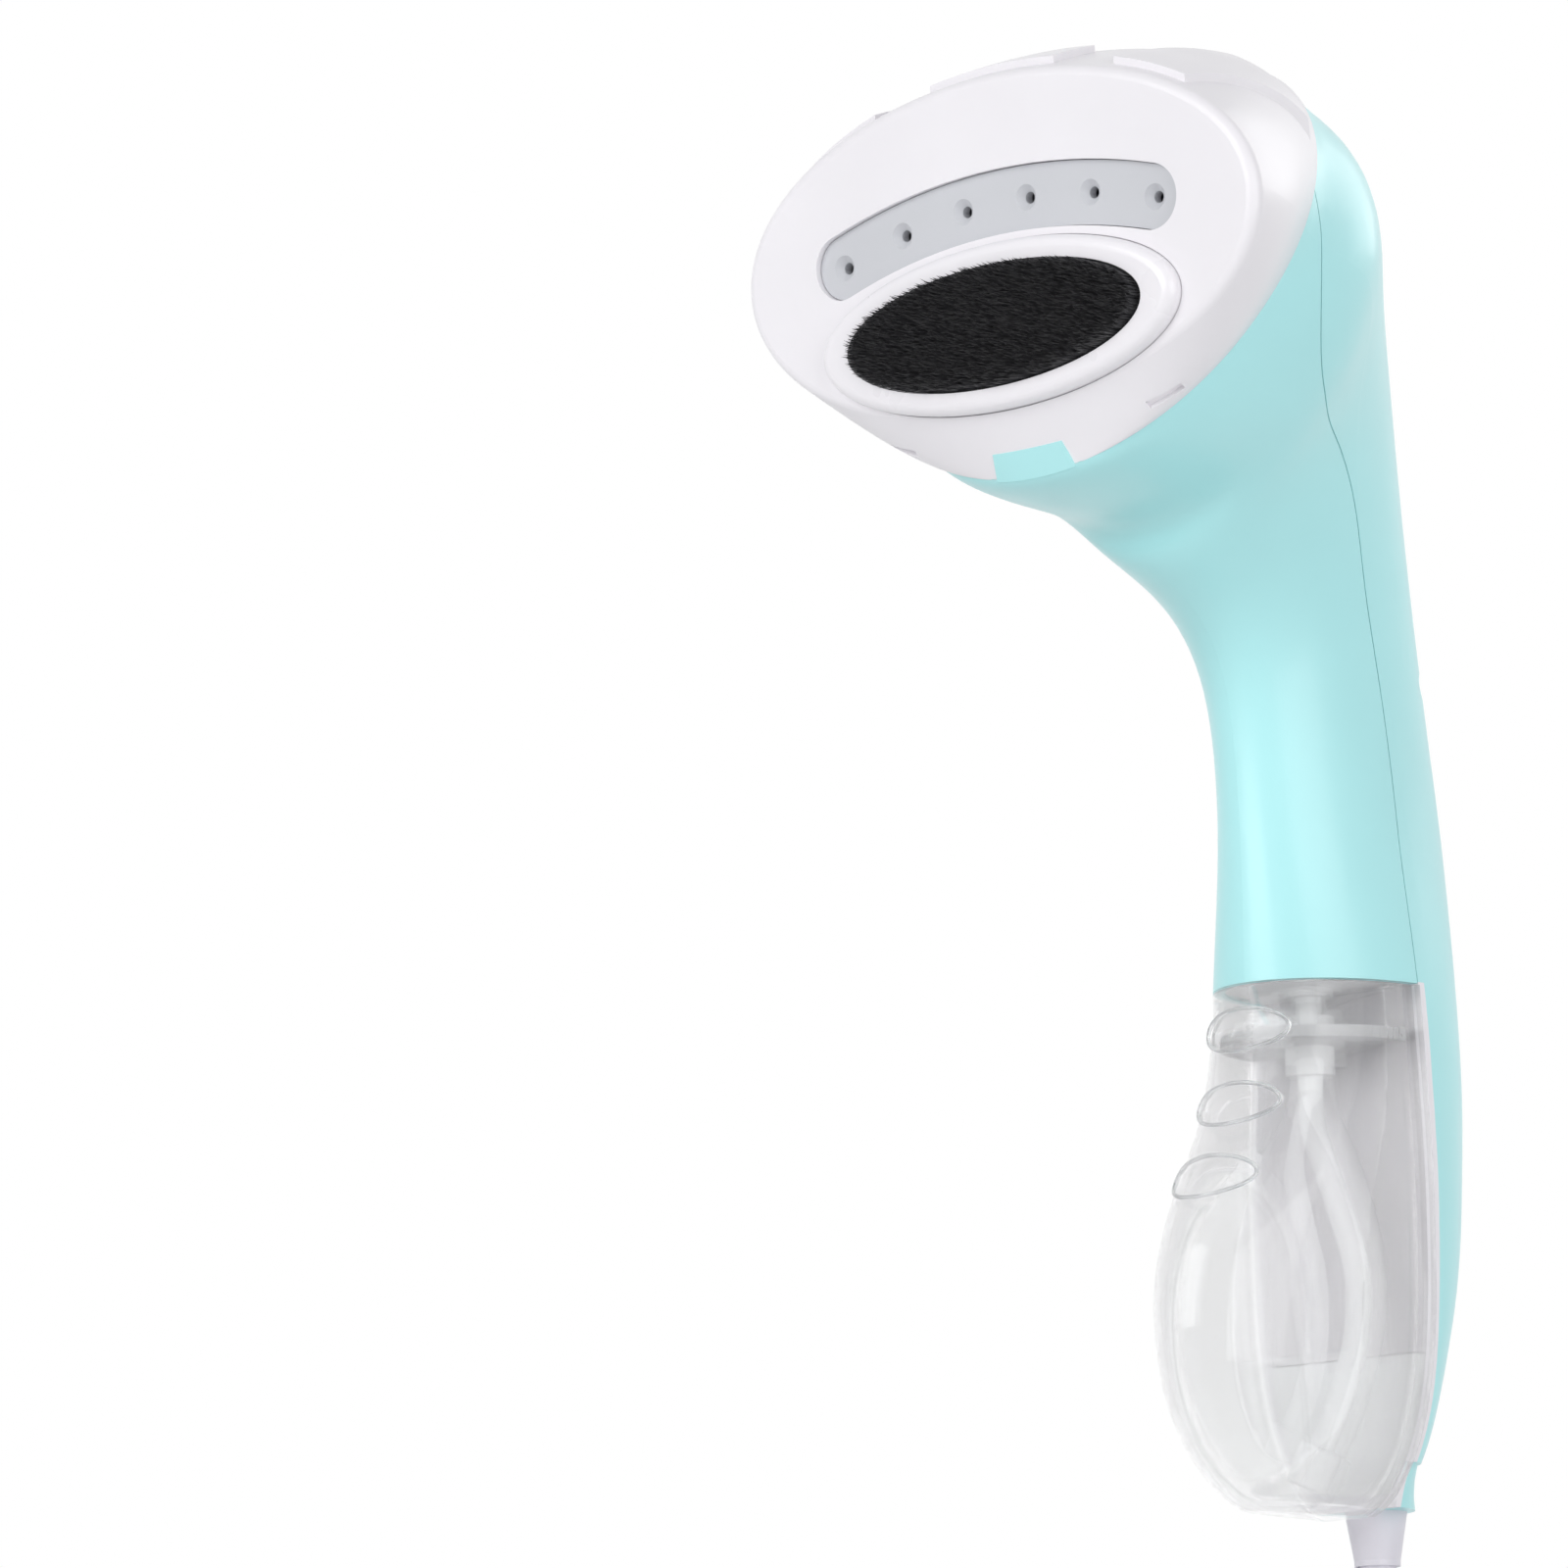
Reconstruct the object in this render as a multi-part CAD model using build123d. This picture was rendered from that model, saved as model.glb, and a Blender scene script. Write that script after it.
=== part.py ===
from build123d import *
import math
import os

# Handheld garment steamer, in millimetres, +Z up, front at -Y, origin in the middle of the grip.

# Fits used all over the model
WALL = 2.2
PARTING_GAP = 0.2
FIT = 0.15
RUN_GAP = 0.35

# Oval head: the face leans forward, and its frame is X across, v up the face, n out of it
FACE_Y = -90.6
FACE_Z = 98.3
FACE_LEAN = 6.5
FACE = Plane(
    origin=(0, FACE_Y, FACE_Z),
    x_dir=(1, 0, 0),
    z_dir=(0, -math.cos(math.radians(FACE_LEAN)), -math.sin(math.radians(FACE_LEAN))),
)
FACE_A = 62.0
FACE_B = 30.4
FACE_LIFT = 1.0
FACE_ROUND = 2.0
# The cover's flank swells over a middle section to a round rim that leans back, where the housing starts
RIM_LEAN = 27.8
RIM_RADIUS = 47.2
RIM_RUN = 6.0
RIM_DRAFT = 0.4
RIM = Plane(
    origin=(0, -59.3, 99.3),
    x_dir=(1, 0, 0),
    z_dir=(0, -math.cos(math.radians(RIM_LEAN)), math.sin(math.radians(RIM_LEAN))),
)
SWELL_LEAN = 10.5
SWELL_A = 56.6
SWELL_B = 39.5
SWELL = Plane(
    origin=(0, -75.0, 99.3),
    x_dir=(1, 0, 0),
    z_dir=(0, -math.cos(math.radians(SWELL_LEAN)), math.sin(math.radians(SWELL_LEAN))),
)
COVER_WALL = 2.4
LUG_RISE = 1.4
LUG_START = -4.0
# across, width, length along the flank
LUGS = ((0.0, 30.0, 12.0), (37.0, 16.0, 34.0), (-37.0, 16.0, 34.0))
NOTCH_WIDTH = 17.0
NOTCH_DEPTH = 4.0
FLANK_SLOT = (7.5, 1.6)
FLANK_SLOT_AT = (30.4, -37.0, 4.4)
FLANK_SLOT_TURN = 36.0

# Steam plate: an arc band with a row of dimpled holes
ARC_RADIUS = 132.8
ARC_TOP = 8.4
BAND_WIDTH = 12.0
HOLE_COUNT = 6
HOLE_PITCH = 15.25
HOLE_RADIUS = 1.1
DIMPLE_RADIUS = 2.4
BAND_END = 6.0
PLATE_RECESS = 1.2
PLATE_THICK = 3.0

# Lint pad and the frame that carries it
PAD_V = -14.2
PAD_A = 35.3
PAD_B = 11.0
FRAME_A = 42.5
FRAME_B = 15.2
FRAME_RISE = 3.0
FRAME_SEAT = 1.0
PAD_POCKET = 2.0
PAD_BACKING = 1.0
STRAND_RISE = 4.0
STRAND_PITCH = 1.75
STRAND_WIDTH = 0.8

# Housing: the neck's sections fan about one axis, then run level down the grip and the spine
FAN_Y = -68.0
FAN_Z = 26.0
# angle from upright, throat radius, crown radius, half width
NECK = (
    (24.0, 29.8, 116.0, 44.5),
    (40.0, 27.8, 106.5, 31.0),
    (65.0, 32.0, 91.6, 19.6),
    (90.0, 38.7, 90.5, 15.8),
)
# parting line between the shells, seen from the side: depth and height
PARTING = (
    (0.0, 0.0),
    (-3.6, 27.0),
    (-9.8, 45.0),
    (-17.5, 60.0),
    (-27.0, 67.0),
    (-39.5, 71.0),
    (-48.0, 76.0),
    (-53.0, 84.5),
    (-54.4, 94.0),
    (-54.6, 103.0),
    (-58.0, 112.0),
    (-70.0, 119.0),
)
# height, half width, half depth
GRIP = ((0.0, 16.2, 26.2), (-30.0, 19.8, 26.2))
SPINE = (
    (-50.0, 21.1, 25.6),
    (-65.0, 21.6, 23.8),
    (-86.0, 21.1, 20.3),
    (-100.0, 19.9, 15.5),
    (-112.0, 17.2, 12.0),
    (-118.0, 14.6, 10.6),
)
GRIP_FOOT = GRIP[-1][0]
FOOT = ((-112.0, 16.6, 11.6), (-119.0, 12.6, 10.8), (-126.0, 10.2, 13.2))
FOOT_Z = FOOT[-1][0]
FOOT_GAP = 0.5

# Water tank: height, half width, depth in front of its flat back
TANK_BACK = 0.3
TANK_WALL = 2.0
TANK = (
    (-30.4, 19.8, 26.0),
    (-38.0, 20.3, 26.2),
    (-47.0, 20.8, 28.3),
    (-57.0, 21.3, 32.5),
    (-67.0, 21.6, 39.0),
    (-77.0, 21.6, 44.6),
    (-87.0, 21.4, 47.8),
    (-97.0, 20.6, 48.4),
    (-107.0, 18.9, 46.8),
    (-116.0, 15.8, 42.8),
    (-122.0, 12.2, 38.0),
    (-126.0, 8.2, 33.0),
    (-127.6, 5.0, 29.5),
)
TANK_TURN, TANK_TURN_WIDTH = TANK[6][:2]
TANK_FOOT = TANK[-1][0]
LID_TOP = -38.5
LID_THICK = 2.2
FLANGE_RISE = 0.7
FLANGE_THICK = 1.6
FINGER_Z = (-39.0, -53.0, -67.0)
FINGER_SIZE = (19.3, 7.9)
FINGER_RISE = 0.8

# Dock: the spigot that the tank's valve slides up on to
SPIGOT_Y = -8.0
SPIGOT_RADIUS = 2.4
SPIGOT_BORE = 1.2
SPIGOT_TIP = -40.0
DOCK_THICK = 2.6
DOCK_UNDER = GRIP_FOOT + 0.2
BARB_LENGTH = 6.0
PANEL_THICK = 1.8
PANEL_TOP = -27.0
PANEL_FOOT = -98.0

# Tank fittings
VALVE_BORE = SPIGOT_RADIUS + 0.9
VALVE_RADIUS = 4.6
VALVE_TOP = -35.0
VALVE_FLOOR = -44.5
VALVE_BARB_END = -51.0
HOSE_RADIUS = 2.4
HOSE_BORE = 1.4
PICKUP_END = (5.0, -14.0, -115.5)
PICKUP_ROUTE = (
    (0.0, SPIGOT_Y, VALVE_BARB_END),
    (0.2, SPIGOT_Y, -56.0),
    (5.6, -8.4, -69.0),
    (10.2, -8.0, -83.0),
    (10.4, -9.5, -96.0),
    (8.5, -12.5, -107.0),
    PICKUP_END,
)
WEIGHT_RADIUS = 4.0
WEIGHT_LENGTH = 8.0
FILLER_Y = -18.6
FILLER_STEM = 3.9
FILLER_FLANGE = 4.9

# Pump on two rubber bushes in the grip
PUMP_Y = SPIGOT_Y
PUMP_RADIUS = 6.0
PUMP_FOOT = -13.0
PUMP_TOP = 20.0
PUMP_NOZZLE = 2.4
COIL_RADIUS = 10.4
COIL_FOOT = -8.0
COIL_TOP = 12.0
BUSH_RADIUS = 8.0
BUSH_LENGTH = 3.0
WEB_THICK = 2.0
WEB_HEIGHTS = (-10.5, 16.5)

# Boiler behind the steam plate, in the face's frame
GASKET_THICK = 1.5
BOILER_COVER_N = -(PLATE_RECESS + PLATE_THICK + GASKET_THICK)
BOILER_COVER_THICK = 3.0
BOILER_COVER_A = 54.0
BOILER_COVER_B = 26.0
BOILER_A = 45.0
BOILER_B = 18.5
BOILER_DEPTH = 16.0
BOILER_N = BOILER_COVER_N - BOILER_COVER_THICK
BOILER_BACK = BOILER_N - BOILER_DEPTH
POSTS = ((49.5, -1.0), (-49.5, -1.0), (0.0, 22.5), (0.0, -22.5))
POST_RADIUS = 3.0
POST_SCREW = 1.3
TERMINAL_X = 24.0
THERMOSTAT_RADIUS = 8.0
INLET_AT = (-14.0, -8.0)
INLET_LENGTH = 9.0

# Power button on the back of the neck, with its switch, board and lamp
BUTTON_LEAN = 14.0
BUTTON_AT = (0.0, 16.6, 53.0)
BUTTON = Plane(
    origin=BUTTON_AT,
    x_dir=(1, 0, 0),
    z_dir=(0, math.cos(math.radians(BUTTON_LEAN)), math.sin(math.radians(BUTTON_LEAN))),
)
BUTTON_RADIUS = 7.0
BUTTON_PROUD = 1.2
BUTTON_TRAVEL = 1.5
BUTTON_FLANGE = 8.6
BOARD_DEPTH = 13.0
BOARD_SIZE = (24.0, 30.0)
BOARD_THICK = 1.6
SWITCH_SIZE = 8.0
LENS_UP = 13.0
LENS_RADIUS = 2.0

# Screws that hold the two shells
SHELL_SCREWS = ((10.5, -21.0), (-10.5, -21.0), (9.0, 29.0), (-9.0, 29.0))
BOSS_RADIUS = 3.6
SCREW_RADIUS = 1.5
SCREW_HEAD = 2.7
SCREW_SINK = 9.0
SCREW_GRIP = 11.0

# Cord: strain relief, lead, wound hank hung under the foot, tie and plug
CORD_RADIUS = 3.1
CORD_Y = 7.2
RELIEF_TOP_RADIUS = 5.8
RELIEF_NECK_RADIUS = 4.3
RELIEF_TAPER = 9.0
RELIEF_END = -166.0
RELIEF_PITCH = 3.4
RELIEF_SLOT = 1.5
RELIEF_SPINE = 2.8
LEAD_END = -186.0
HANK_OUTER = 41.0
HANK_STEP = 6.8
TURNS_PER_LAYER = 2
LAYER_COUNT = 4
JOIN_ANGLE = 60.0
TAIL = 33.0
TIE_WIDTH = 9.0
TIE_THICK = 1.2
TIE_GAP = 0.5
PLUG_LENGTH = 32.0
PLUG_HALF = (8.0, 12.5)
BLADE_SIZE = (1.5, 6.3, 17.0)
BLADE_SPACING = 12.7


def half_oval(place, half_width, half_depth, gap):
    """The front or rear half of an oval, closed along a line a gap away from its middle."""
    arc = EllipticalCenterArc((0, gap), half_width, half_depth, 0, arc_size=180)
    return place * make_face([arc, Line(arc @ 1, arc @ 0)])


def neck_place(station):
    """The plane of one neck section and the section's half depth."""
    angle, throat, crown = station[:3]
    turn = math.radians(angle)
    middle = (throat + crown) / 2
    origin = (0, FAN_Y + middle * math.sin(turn), FAN_Z + middle * math.cos(turn))
    along = (0, math.cos(turn), -math.sin(turn))
    return Plane(origin=origin, x_dir=(1, 0, 0), z_dir=along), (crown - throat) / 2


def level_place(height, side):
    """A level section's plane, its local y pointing to the front or to the rear."""
    return Plane(origin=(0, 0, height), x_dir=(side, 0, 0), z_dir=(0, 0, -1))


def body_form(inset):
    """The whole housing from the head's rim to the foot, shrunk by an inset."""
    rim = Plane(origin=RIM.origin, x_dir=(1, 0, 0), z_dir=-RIM.z_dir)
    sections = [rim * Circle(RIM_RADIUS - inset)]
    sections.append(rim * Pos(0, 0, RIM_RUN) * Circle(RIM_RADIUS - RIM_DRAFT - inset))
    for station in NECK:
        place, half_depth = neck_place(station)
        sections.append(place * Ellipse(station[3] - inset, half_depth - inset))
    for height, half_width, half_depth in GRIP + SPINE:
        sections.append(level_place(height, 1) * Ellipse(half_width - inset, half_depth - inset))
    return loft(sections)


def parting_block(side):
    """Everything in front of the parting line, or everything behind it."""
    gap = side * PARTING_GAP / 2
    rise = [(y - gap, z - gap) for y, z in PARTING]
    foot = (rise[0][0], -140)
    curve = Spline(rise, tangents=((0, 1), (-1, 0.3)))
    far = side * -200
    out = curve @ 1 - Vector(120, -36)
    border = Polyline(curve @ 1, out, (far, out.Y), (far, -140), foot, curve @ 0)
    if side < 0:
        border = Polyline(curve @ 1, out, (out.X, 200), (far, 200), (far, -140), foot, curve @ 0)
    face = Plane.YZ * make_face([curve, border])
    return extrude(face, 100, both=True)


def slab(low, high):
    """A wide level slab between two heights."""
    return Pos(0, 0, (low + high) / 2) * Box(300, 300, high - low)


def along_y(radius, x, z, start, end):
    """A cylinder along Y between two depths."""
    middle = (start + end) / 2
    return Pos(x, middle, z) * Rot(90, 0, 0) * Cylinder(radius, abs(end - start))


def upright(radius, x, y, low, high):
    """A cylinder along Z between two heights."""
    return Pos(x, y, (low + high) / 2) * Cylinder(radius, high - low)


def on_plane(plane, radius, x, y, low, high):
    """A cylinder square to a plane, between two offsets from it."""
    return plane * Pos(x, y, (low + high) / 2) * Cylinder(radius, high - low)


def corner_radii(points):
    """Bend radii for a routed tube, each fitted to its shorter run."""
    radii = []
    for before, here, after in zip(points, points[1:], points[2:]):
        first = Vector(here) - Vector(before)
        second = Vector(after) - Vector(here)
        turn = math.radians(first.get_angle(second))
        radii.append(0.45 * min(first.length, second.length) / math.tan(turn / 2))
    return radii


def routed_tube(points, radius, bore=0.0):
    """A tube along straight runs joined by tangent arcs."""
    path = FilletPolyline(*points, radius=corner_radii(points))
    place = Plane(origin=path @ 0, z_dir=path % 0)
    tube = sweep(place * Circle(radius), path=path)
    if bore > 0:
        tube -= sweep(place * Circle(bore), path=path)
    return tube


def cover_form(grow):
    """The head cover's outside, grown or shrunk evenly."""
    back = min(grow, 0)
    front = FACE * Pos(0, FACE_LIFT, back) * Ellipse(FACE_A + grow, FACE_B + grow)
    middle = SWELL * Ellipse(SWELL_A + grow, SWELL_B + grow)
    rim = RIM * Pos(0, 0, back) * Circle(RIM_RADIUS + grow)
    return loft([front, middle, rim])


def band(width):
    """The steam plate's arc band at a given width."""
    reach = HOLE_PITCH * (HOLE_COUNT - 1) / 2 + BAND_END - BAND_WIDTH / 2
    swing = math.degrees(reach / ARC_RADIUS)
    arc = CenterArc((0, ARC_TOP - ARC_RADIUS), ARC_RADIUS, 90 - swing, 2 * swing)
    return SlotArc(arc, width)


def hole_places():
    """Middles of the steam holes along the arc."""
    places = []
    for index in range(HOLE_COUNT):
        swing = (index - (HOLE_COUNT - 1) / 2) * HOLE_PITCH / ARC_RADIUS
        places.append((ARC_RADIUS * math.sin(swing), ARC_TOP - ARC_RADIUS * (1 - math.cos(swing))))
    return places


def notch_block(gap):
    """The notch at the bottom of the cover's rim, made smaller by a gap."""
    depth = NOTCH_DEPTH - gap + 1
    return RIM * Pos(0, -RIM_RADIUS, depth / 2 - 1) * Box(NOTCH_WIDTH - 2 * gap, 30, depth)


def head_cover():
    """White oval cover with its lugs, notch, flank slots, steam window and screw posts."""
    solid = cover_form(0.0)
    solid = fillet(solid.edges().sort_by(Axis.Y)[0], FACE_ROUND)
    raised = cover_form(LUG_RISE)
    for across, width, length in LUGS:
        block = FACE * Pos(across, 39, LUG_START - length / 2) * Box(width, 62, length)
        solid += raised & block
    shell = solid - cover_form(-COVER_WALL)
    for across, up in POSTS:
        shell += on_plane(FACE, POST_RADIUS, across, up, BOILER_COVER_N, -1.0)
    shell -= notch_block(0.0)
    for hand in (1, -1):
        place = RIM * Pos(hand * FLANK_SLOT_AT[0], FLANK_SLOT_AT[1], FLANK_SLOT_AT[2])
        slot = place * Rot(0, 0, hand * FLANK_SLOT_TURN) * Box(FLANK_SLOT[0], 8, FLANK_SLOT[1])
        shell -= slot - cover_form(-1.0)
    shell -= FACE * Pos(0, 0, -5) * extrude(band(BAND_WIDTH), 10)
    shell -= FACE * Pos(0, PAD_V, -FRAME_SEAT) * extrude(Ellipse(FRAME_A + FIT, FRAME_B + FIT), 10)
    for across, up in POSTS:
        shell -= on_plane(FACE, POST_SCREW, across, up, BOILER_COVER_N - 1, -2.2)
    return shell


def steam_plate():
    """Grey arc band with six conical dimples."""
    plate = FACE * Pos(0, 0, -PLATE_RECESS) * extrude(band(BAND_WIDTH - 2 * FIT), -PLATE_THICK)
    for across, up in hole_places():
        plate -= on_plane(FACE, HOLE_RADIUS, across, up, -10, 1)
        place = FACE * Pos(across, up, -PLATE_RECESS - 0.6)
        plate -= place * Cone(HOLE_RADIUS, DIMPLE_RADIUS, 1.2)
    return plate


def steam_gasket():
    """Silicone band between the steam plate and the boiler."""
    ring = band(BAND_WIDTH - 1.0) - band(BAND_WIDTH - 4.5)
    return FACE * Pos(0, 0, -PLATE_RECESS - PLATE_THICK) * extrude(ring, -GASKET_THICK)


def pad_frame():
    """Raised oval frame with a rounded outer edge and a pocket for the pad."""
    frame = extrude(Ellipse(FRAME_A, FRAME_B), FRAME_RISE + FRAME_SEAT)
    frame = fillet(frame.edges().group_by(Axis.Z)[-1], 2.2)
    top = FRAME_RISE + FRAME_SEAT
    frame -= Pos(0, 0, top - PAD_POCKET) * extrude(Ellipse(PAD_A + FIT, PAD_B + FIT), 5)
    return FACE * Pos(0, PAD_V, -FRAME_SEAT) * frame


def bristle_pad():
    """Backing oval with rows of short square strands."""
    backing = extrude(Ellipse(PAD_A, PAD_B), PAD_BACKING)
    strands = []
    rows = int(PAD_B / STRAND_PITCH)
    columns = int(PAD_A / STRAND_PITCH)
    for row in range(-rows, rows + 1):
        stagger = STRAND_PITCH / 2 * (row % 2)
        for column in range(-columns, columns + 1):
            across = column * STRAND_PITCH + stagger
            up = row * STRAND_PITCH
            if math.hypot(across / (PAD_A - 1), up / (PAD_B - 1)) < 1:
                strand = Box(STRAND_WIDTH, STRAND_WIDTH, STRAND_RISE)
                strands.append(Pos(across, up, PAD_BACKING + STRAND_RISE / 2 - 0.1) * strand)
    pad = backing.fuse(*strands)
    return FACE * Pos(0, PAD_V, FRAME_RISE - PAD_POCKET) * pad


def boiler_cover():
    """Pressed plate that closes the boiler and screws to the head cover's posts."""
    plate = extrude(Ellipse(BOILER_COVER_A, BOILER_COVER_B), -BOILER_COVER_THICK)
    plate -= Pos(0, 0, -5) * extrude(band(BAND_WIDTH - 5.0), 10)
    plate = FACE * Pos(0, 0, BOILER_COVER_N) * plate
    for across, up in POSTS:
        plate -= on_plane(FACE, POST_SCREW + 0.3, across, up, BOILER_N - 1, BOILER_COVER_N + 1)
    return plate


def boiler_block():
    """Cast boiler with cooling ribs at its back and a water inlet."""
    block = extrude(Ellipse(BOILER_A, BOILER_B), -BOILER_DEPTH)
    block = fillet(block.edges().group_by(Axis.Z)[0], 3.0)
    block = FACE * Pos(0, 0, BOILER_N) * block
    for hand in (1, -1):
        rib = FACE * Pos(hand * 33, 0, BOILER_BACK - 1.0) * Box(2.5, 18, 4.0)
        block += rib
    inlet = on_plane(FACE, HOSE_BORE, *INLET_AT, BOILER_BACK - INLET_LENGTH, BOILER_BACK + 1)
    seat = on_plane(FACE, HOSE_RADIUS + 1, *INLET_AT, BOILER_BACK - 2, BOILER_BACK + 1)
    return block + inlet + seat


def heater_terminals():
    """Two ends of the cast-in heater, with their pins."""
    pieces = []
    for hand in (1, -1):
        sleeve = on_plane(FACE, 3.2, hand * TERMINAL_X, 4, BOILER_BACK - 8, BOILER_BACK)
        pin = on_plane(FACE, 1.2, hand * TERMINAL_X, 4, BOILER_BACK - 14, BOILER_BACK - 7)
        pieces.append(sleeve + pin)
    return Compound(children=pieces)


def thermostat():
    """Snap disc thermostat on the boiler's back."""
    disc = on_plane(FACE, THERMOSTAT_RADIUS, 4, 4, BOILER_BACK - 5, BOILER_BACK)
    cap = on_plane(FACE, THERMOSTAT_RADIUS - 2, 4, 4, BOILER_BACK - 9, BOILER_BACK - 4)
    return disc + cap


def thermal_fuse():
    """Fuse barrel lying on the boiler's back, under its strap."""
    barrel = FACE * Pos(6, -11, BOILER_BACK - 2.2) * Rot(0, 90, 0) * Cylinder(2.2, 14)
    strap = FACE * Pos(6, -11, BOILER_BACK - 2.4) * Box(4, 7, 4.8)
    return barrel + strap


def boiler_screws():
    """Four screws from the boiler cover into the head cover's posts."""
    pieces = []
    for across, up in POSTS:
        shank = on_plane(FACE, POST_SCREW - 0.05, across, up, BOILER_N, -2.4)
        head = on_plane(FACE, POST_SCREW + 1.3, across, up, BOILER_N - 1.8, BOILER_N)
        pieces.append(shank + head)
    return Compound(children=pieces)


def screw_bosses(side):
    """Bosses for the shell screws on one side of the parting line, running into the wall."""
    bosses = []
    for x, z in SHELL_SCREWS:
        bosses.append(along_y(BOSS_RADIUS, x, z, 40, -40) & BOSS_ROOM & parting_block(side))
    return bosses


def front_shell():
    """Front half of the housing: throat and front of the grip, with the pump's webs and the bosses."""
    shell = OUTSIDE - INSIDE
    for height in WEB_HEIGHTS:
        web = BOSS_ROOM & slab(height, height + WEB_THICK)
        shell += web - upright(BUSH_RADIUS + FIT, 0, PUMP_Y, height - 1, height + WEB_THICK + 1)
    shell = shell & parting_block(1) & slab(GRIP_FOOT, 200)
    for boss in screw_bosses(1):
        shell += boss
    shell += (cover_form(0.0) - cover_form(-COVER_WALL)) & notch_block(FIT)
    shell += RIM * Pos(0, 1.45 - RIM_RADIUS, 0) * Box(10.0, 1.1, 1.0)
    for x, z in SHELL_SCREWS:
        shell -= along_y(SCREW_RADIUS + 0.02, x, z, 1, -SCREW_GRIP - 1)
    return shell


def rear_shell():
    """Rear half of the housing: crown, back of the grip, the spine behind the tank and the foot."""
    shell = (OUTSIDE - INSIDE) & parting_block(-1)
    for boss in screw_bosses(-1):
        shell += boss
    shell += loft([half_oval(level_place(z, -1), a, b, FOOT_GAP) for z, a, b in FOOT])
    for across in (8.0, -8.0):
        for up in (-11.0, 11.0):
            post = on_plane(BUTTON, 2.2, across, up, -BOARD_DEPTH + BOARD_THICK / 2, 6)
            shell += post & BOSS_ROOM
    shell -= on_plane(BUTTON, BUTTON_RADIUS + RUN_GAP, 0, 0, -8, 8)
    shell -= on_plane(BUTTON, LENS_RADIUS + FIT, 0, LENS_UP, -8, 8)
    for x, z in SHELL_SCREWS:
        shell -= along_y(SCREW_RADIUS + FIT, x, z, -8, 40)
        shell -= along_y(SCREW_HEAD + FIT, x, z, SCREW_SINK, 40)
    relief_hole = RELIEF_TOP_RADIUS - 1.2
    shell -= upright(relief_hole + FIT, 0, CORD_Y, FOOT_Z - 1, FOOT_Z + 16)
    return shell


def dock_floor():
    """White floor of the grip, with the spigot below it and its hose barb above."""
    floor = SEAT_ROOM & slab(DOCK_UNDER, DOCK_UNDER + DOCK_THICK) & parting_block(1)
    top = DOCK_UNDER + DOCK_THICK
    floor += upright(SPIGOT_RADIUS, 0, SPIGOT_Y, SPIGOT_TIP, top + BARB_LENGTH)
    floor += upright(SPIGOT_RADIUS + 2.2, 0, SPIGOT_Y, DOCK_UNDER - 1.5, DOCK_UNDER + 0.5)
    floor -= upright(SPIGOT_BORE, 0, SPIGOT_Y, SPIGOT_TIP - 1, top + BARB_LENGTH + 1)
    groove = upright(SPIGOT_RADIUS + 1, 0, SPIGOT_Y, SPIGOT_TIP + 1.5, SPIGOT_TIP + 3.1)
    floor -= groove - upright(SPIGOT_RADIUS - 0.5, 0, SPIGOT_Y, SPIGOT_TIP, SPIGOT_TIP + 5)
    return floor


def dock_seal():
    """Square-cut ring in the spigot's groove."""
    ring = Circle(SPIGOT_RADIUS + 0.55) - Circle(SPIGOT_RADIUS - 0.45)
    return Pos(0, SPIGOT_Y, SPIGOT_TIP + 1.6) * extrude(ring, 1.4)


def bay_panel():
    """White panel that closes the spine behind the tank."""
    front = PARTING_GAP
    cut = Pos(0, front + PANEL_THICK / 2, (PANEL_TOP + PANEL_FOOT) / 2)
    return SEAT_ROOM & (cut * Box(80, PANEL_THICK, PANEL_TOP - PANEL_FOOT))


def shell_screws():
    """Four screws through the rear shell's bosses into the front shell."""
    pieces = []
    for x, z in SHELL_SCREWS:
        shank = along_y(SCREW_RADIUS - 0.03, x, z, SCREW_SINK, -SCREW_GRIP)
        head = along_y(SCREW_HEAD, x, z, SCREW_SINK, SCREW_SINK + 2.2)
        cross = Pos(x, SCREW_SINK + 1.8, z) * (Box(0.8, 1.6, 3.4) + Box(3.4, 1.6, 0.8))
        pieces.append(shank + head - cross)
    return Compound(children=pieces)


def pump_body():
    """Barrel of the solenoid pump with a nozzle at each end."""
    barrel = upright(PUMP_RADIUS, 0, PUMP_Y, PUMP_FOOT, PUMP_TOP)
    nozzle = upright(PUMP_NOZZLE, 0, PUMP_Y, PUMP_FOOT - 6, PUMP_FOOT + 1)
    outlet = upright(PUMP_NOZZLE, 0, PUMP_Y, PUMP_TOP - 1, PUMP_TOP + 8)
    return barrel + nozzle + outlet


def pump_coil():
    """Winding round the barrel, between two cheeks."""
    winding = upright(COIL_RADIUS - 1, 0, PUMP_Y, COIL_FOOT, COIL_TOP)
    for low in (COIL_FOOT, COIL_TOP - 1.5):
        winding += upright(COIL_RADIUS, 0, PUMP_Y, low, low + 1.5)
    return winding - upright(PUMP_RADIUS + 0.05, 0, PUMP_Y, COIL_FOOT - 1, COIL_TOP + 1)


def pump_bushes():
    """Rubber bushes that carry the pump in the front shell's webs."""
    pieces = []
    for height in WEB_HEIGHTS:
        middle = height + WEB_THICK / 2
        bush = upright(BUSH_RADIUS, 0, PUMP_Y, middle - BUSH_LENGTH / 2, middle + BUSH_LENGTH / 2)
        pieces.append(bush - upright(PUMP_RADIUS + 0.05, 0, PUMP_Y, middle - 5, middle + 5))
    return Compound(children=pieces)


def inlet_hose():
    """Short hose from the dock's barb to the pump."""
    low = DOCK_UNDER + DOCK_THICK + 0.3
    hose = upright(PUMP_NOZZLE + 1.2, 0, PUMP_Y, low, PUMP_FOOT - 0.3)
    return hose - upright(PUMP_NOZZLE + 0.05, 0, PUMP_Y, low - 1, PUMP_FOOT + 1)


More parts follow.
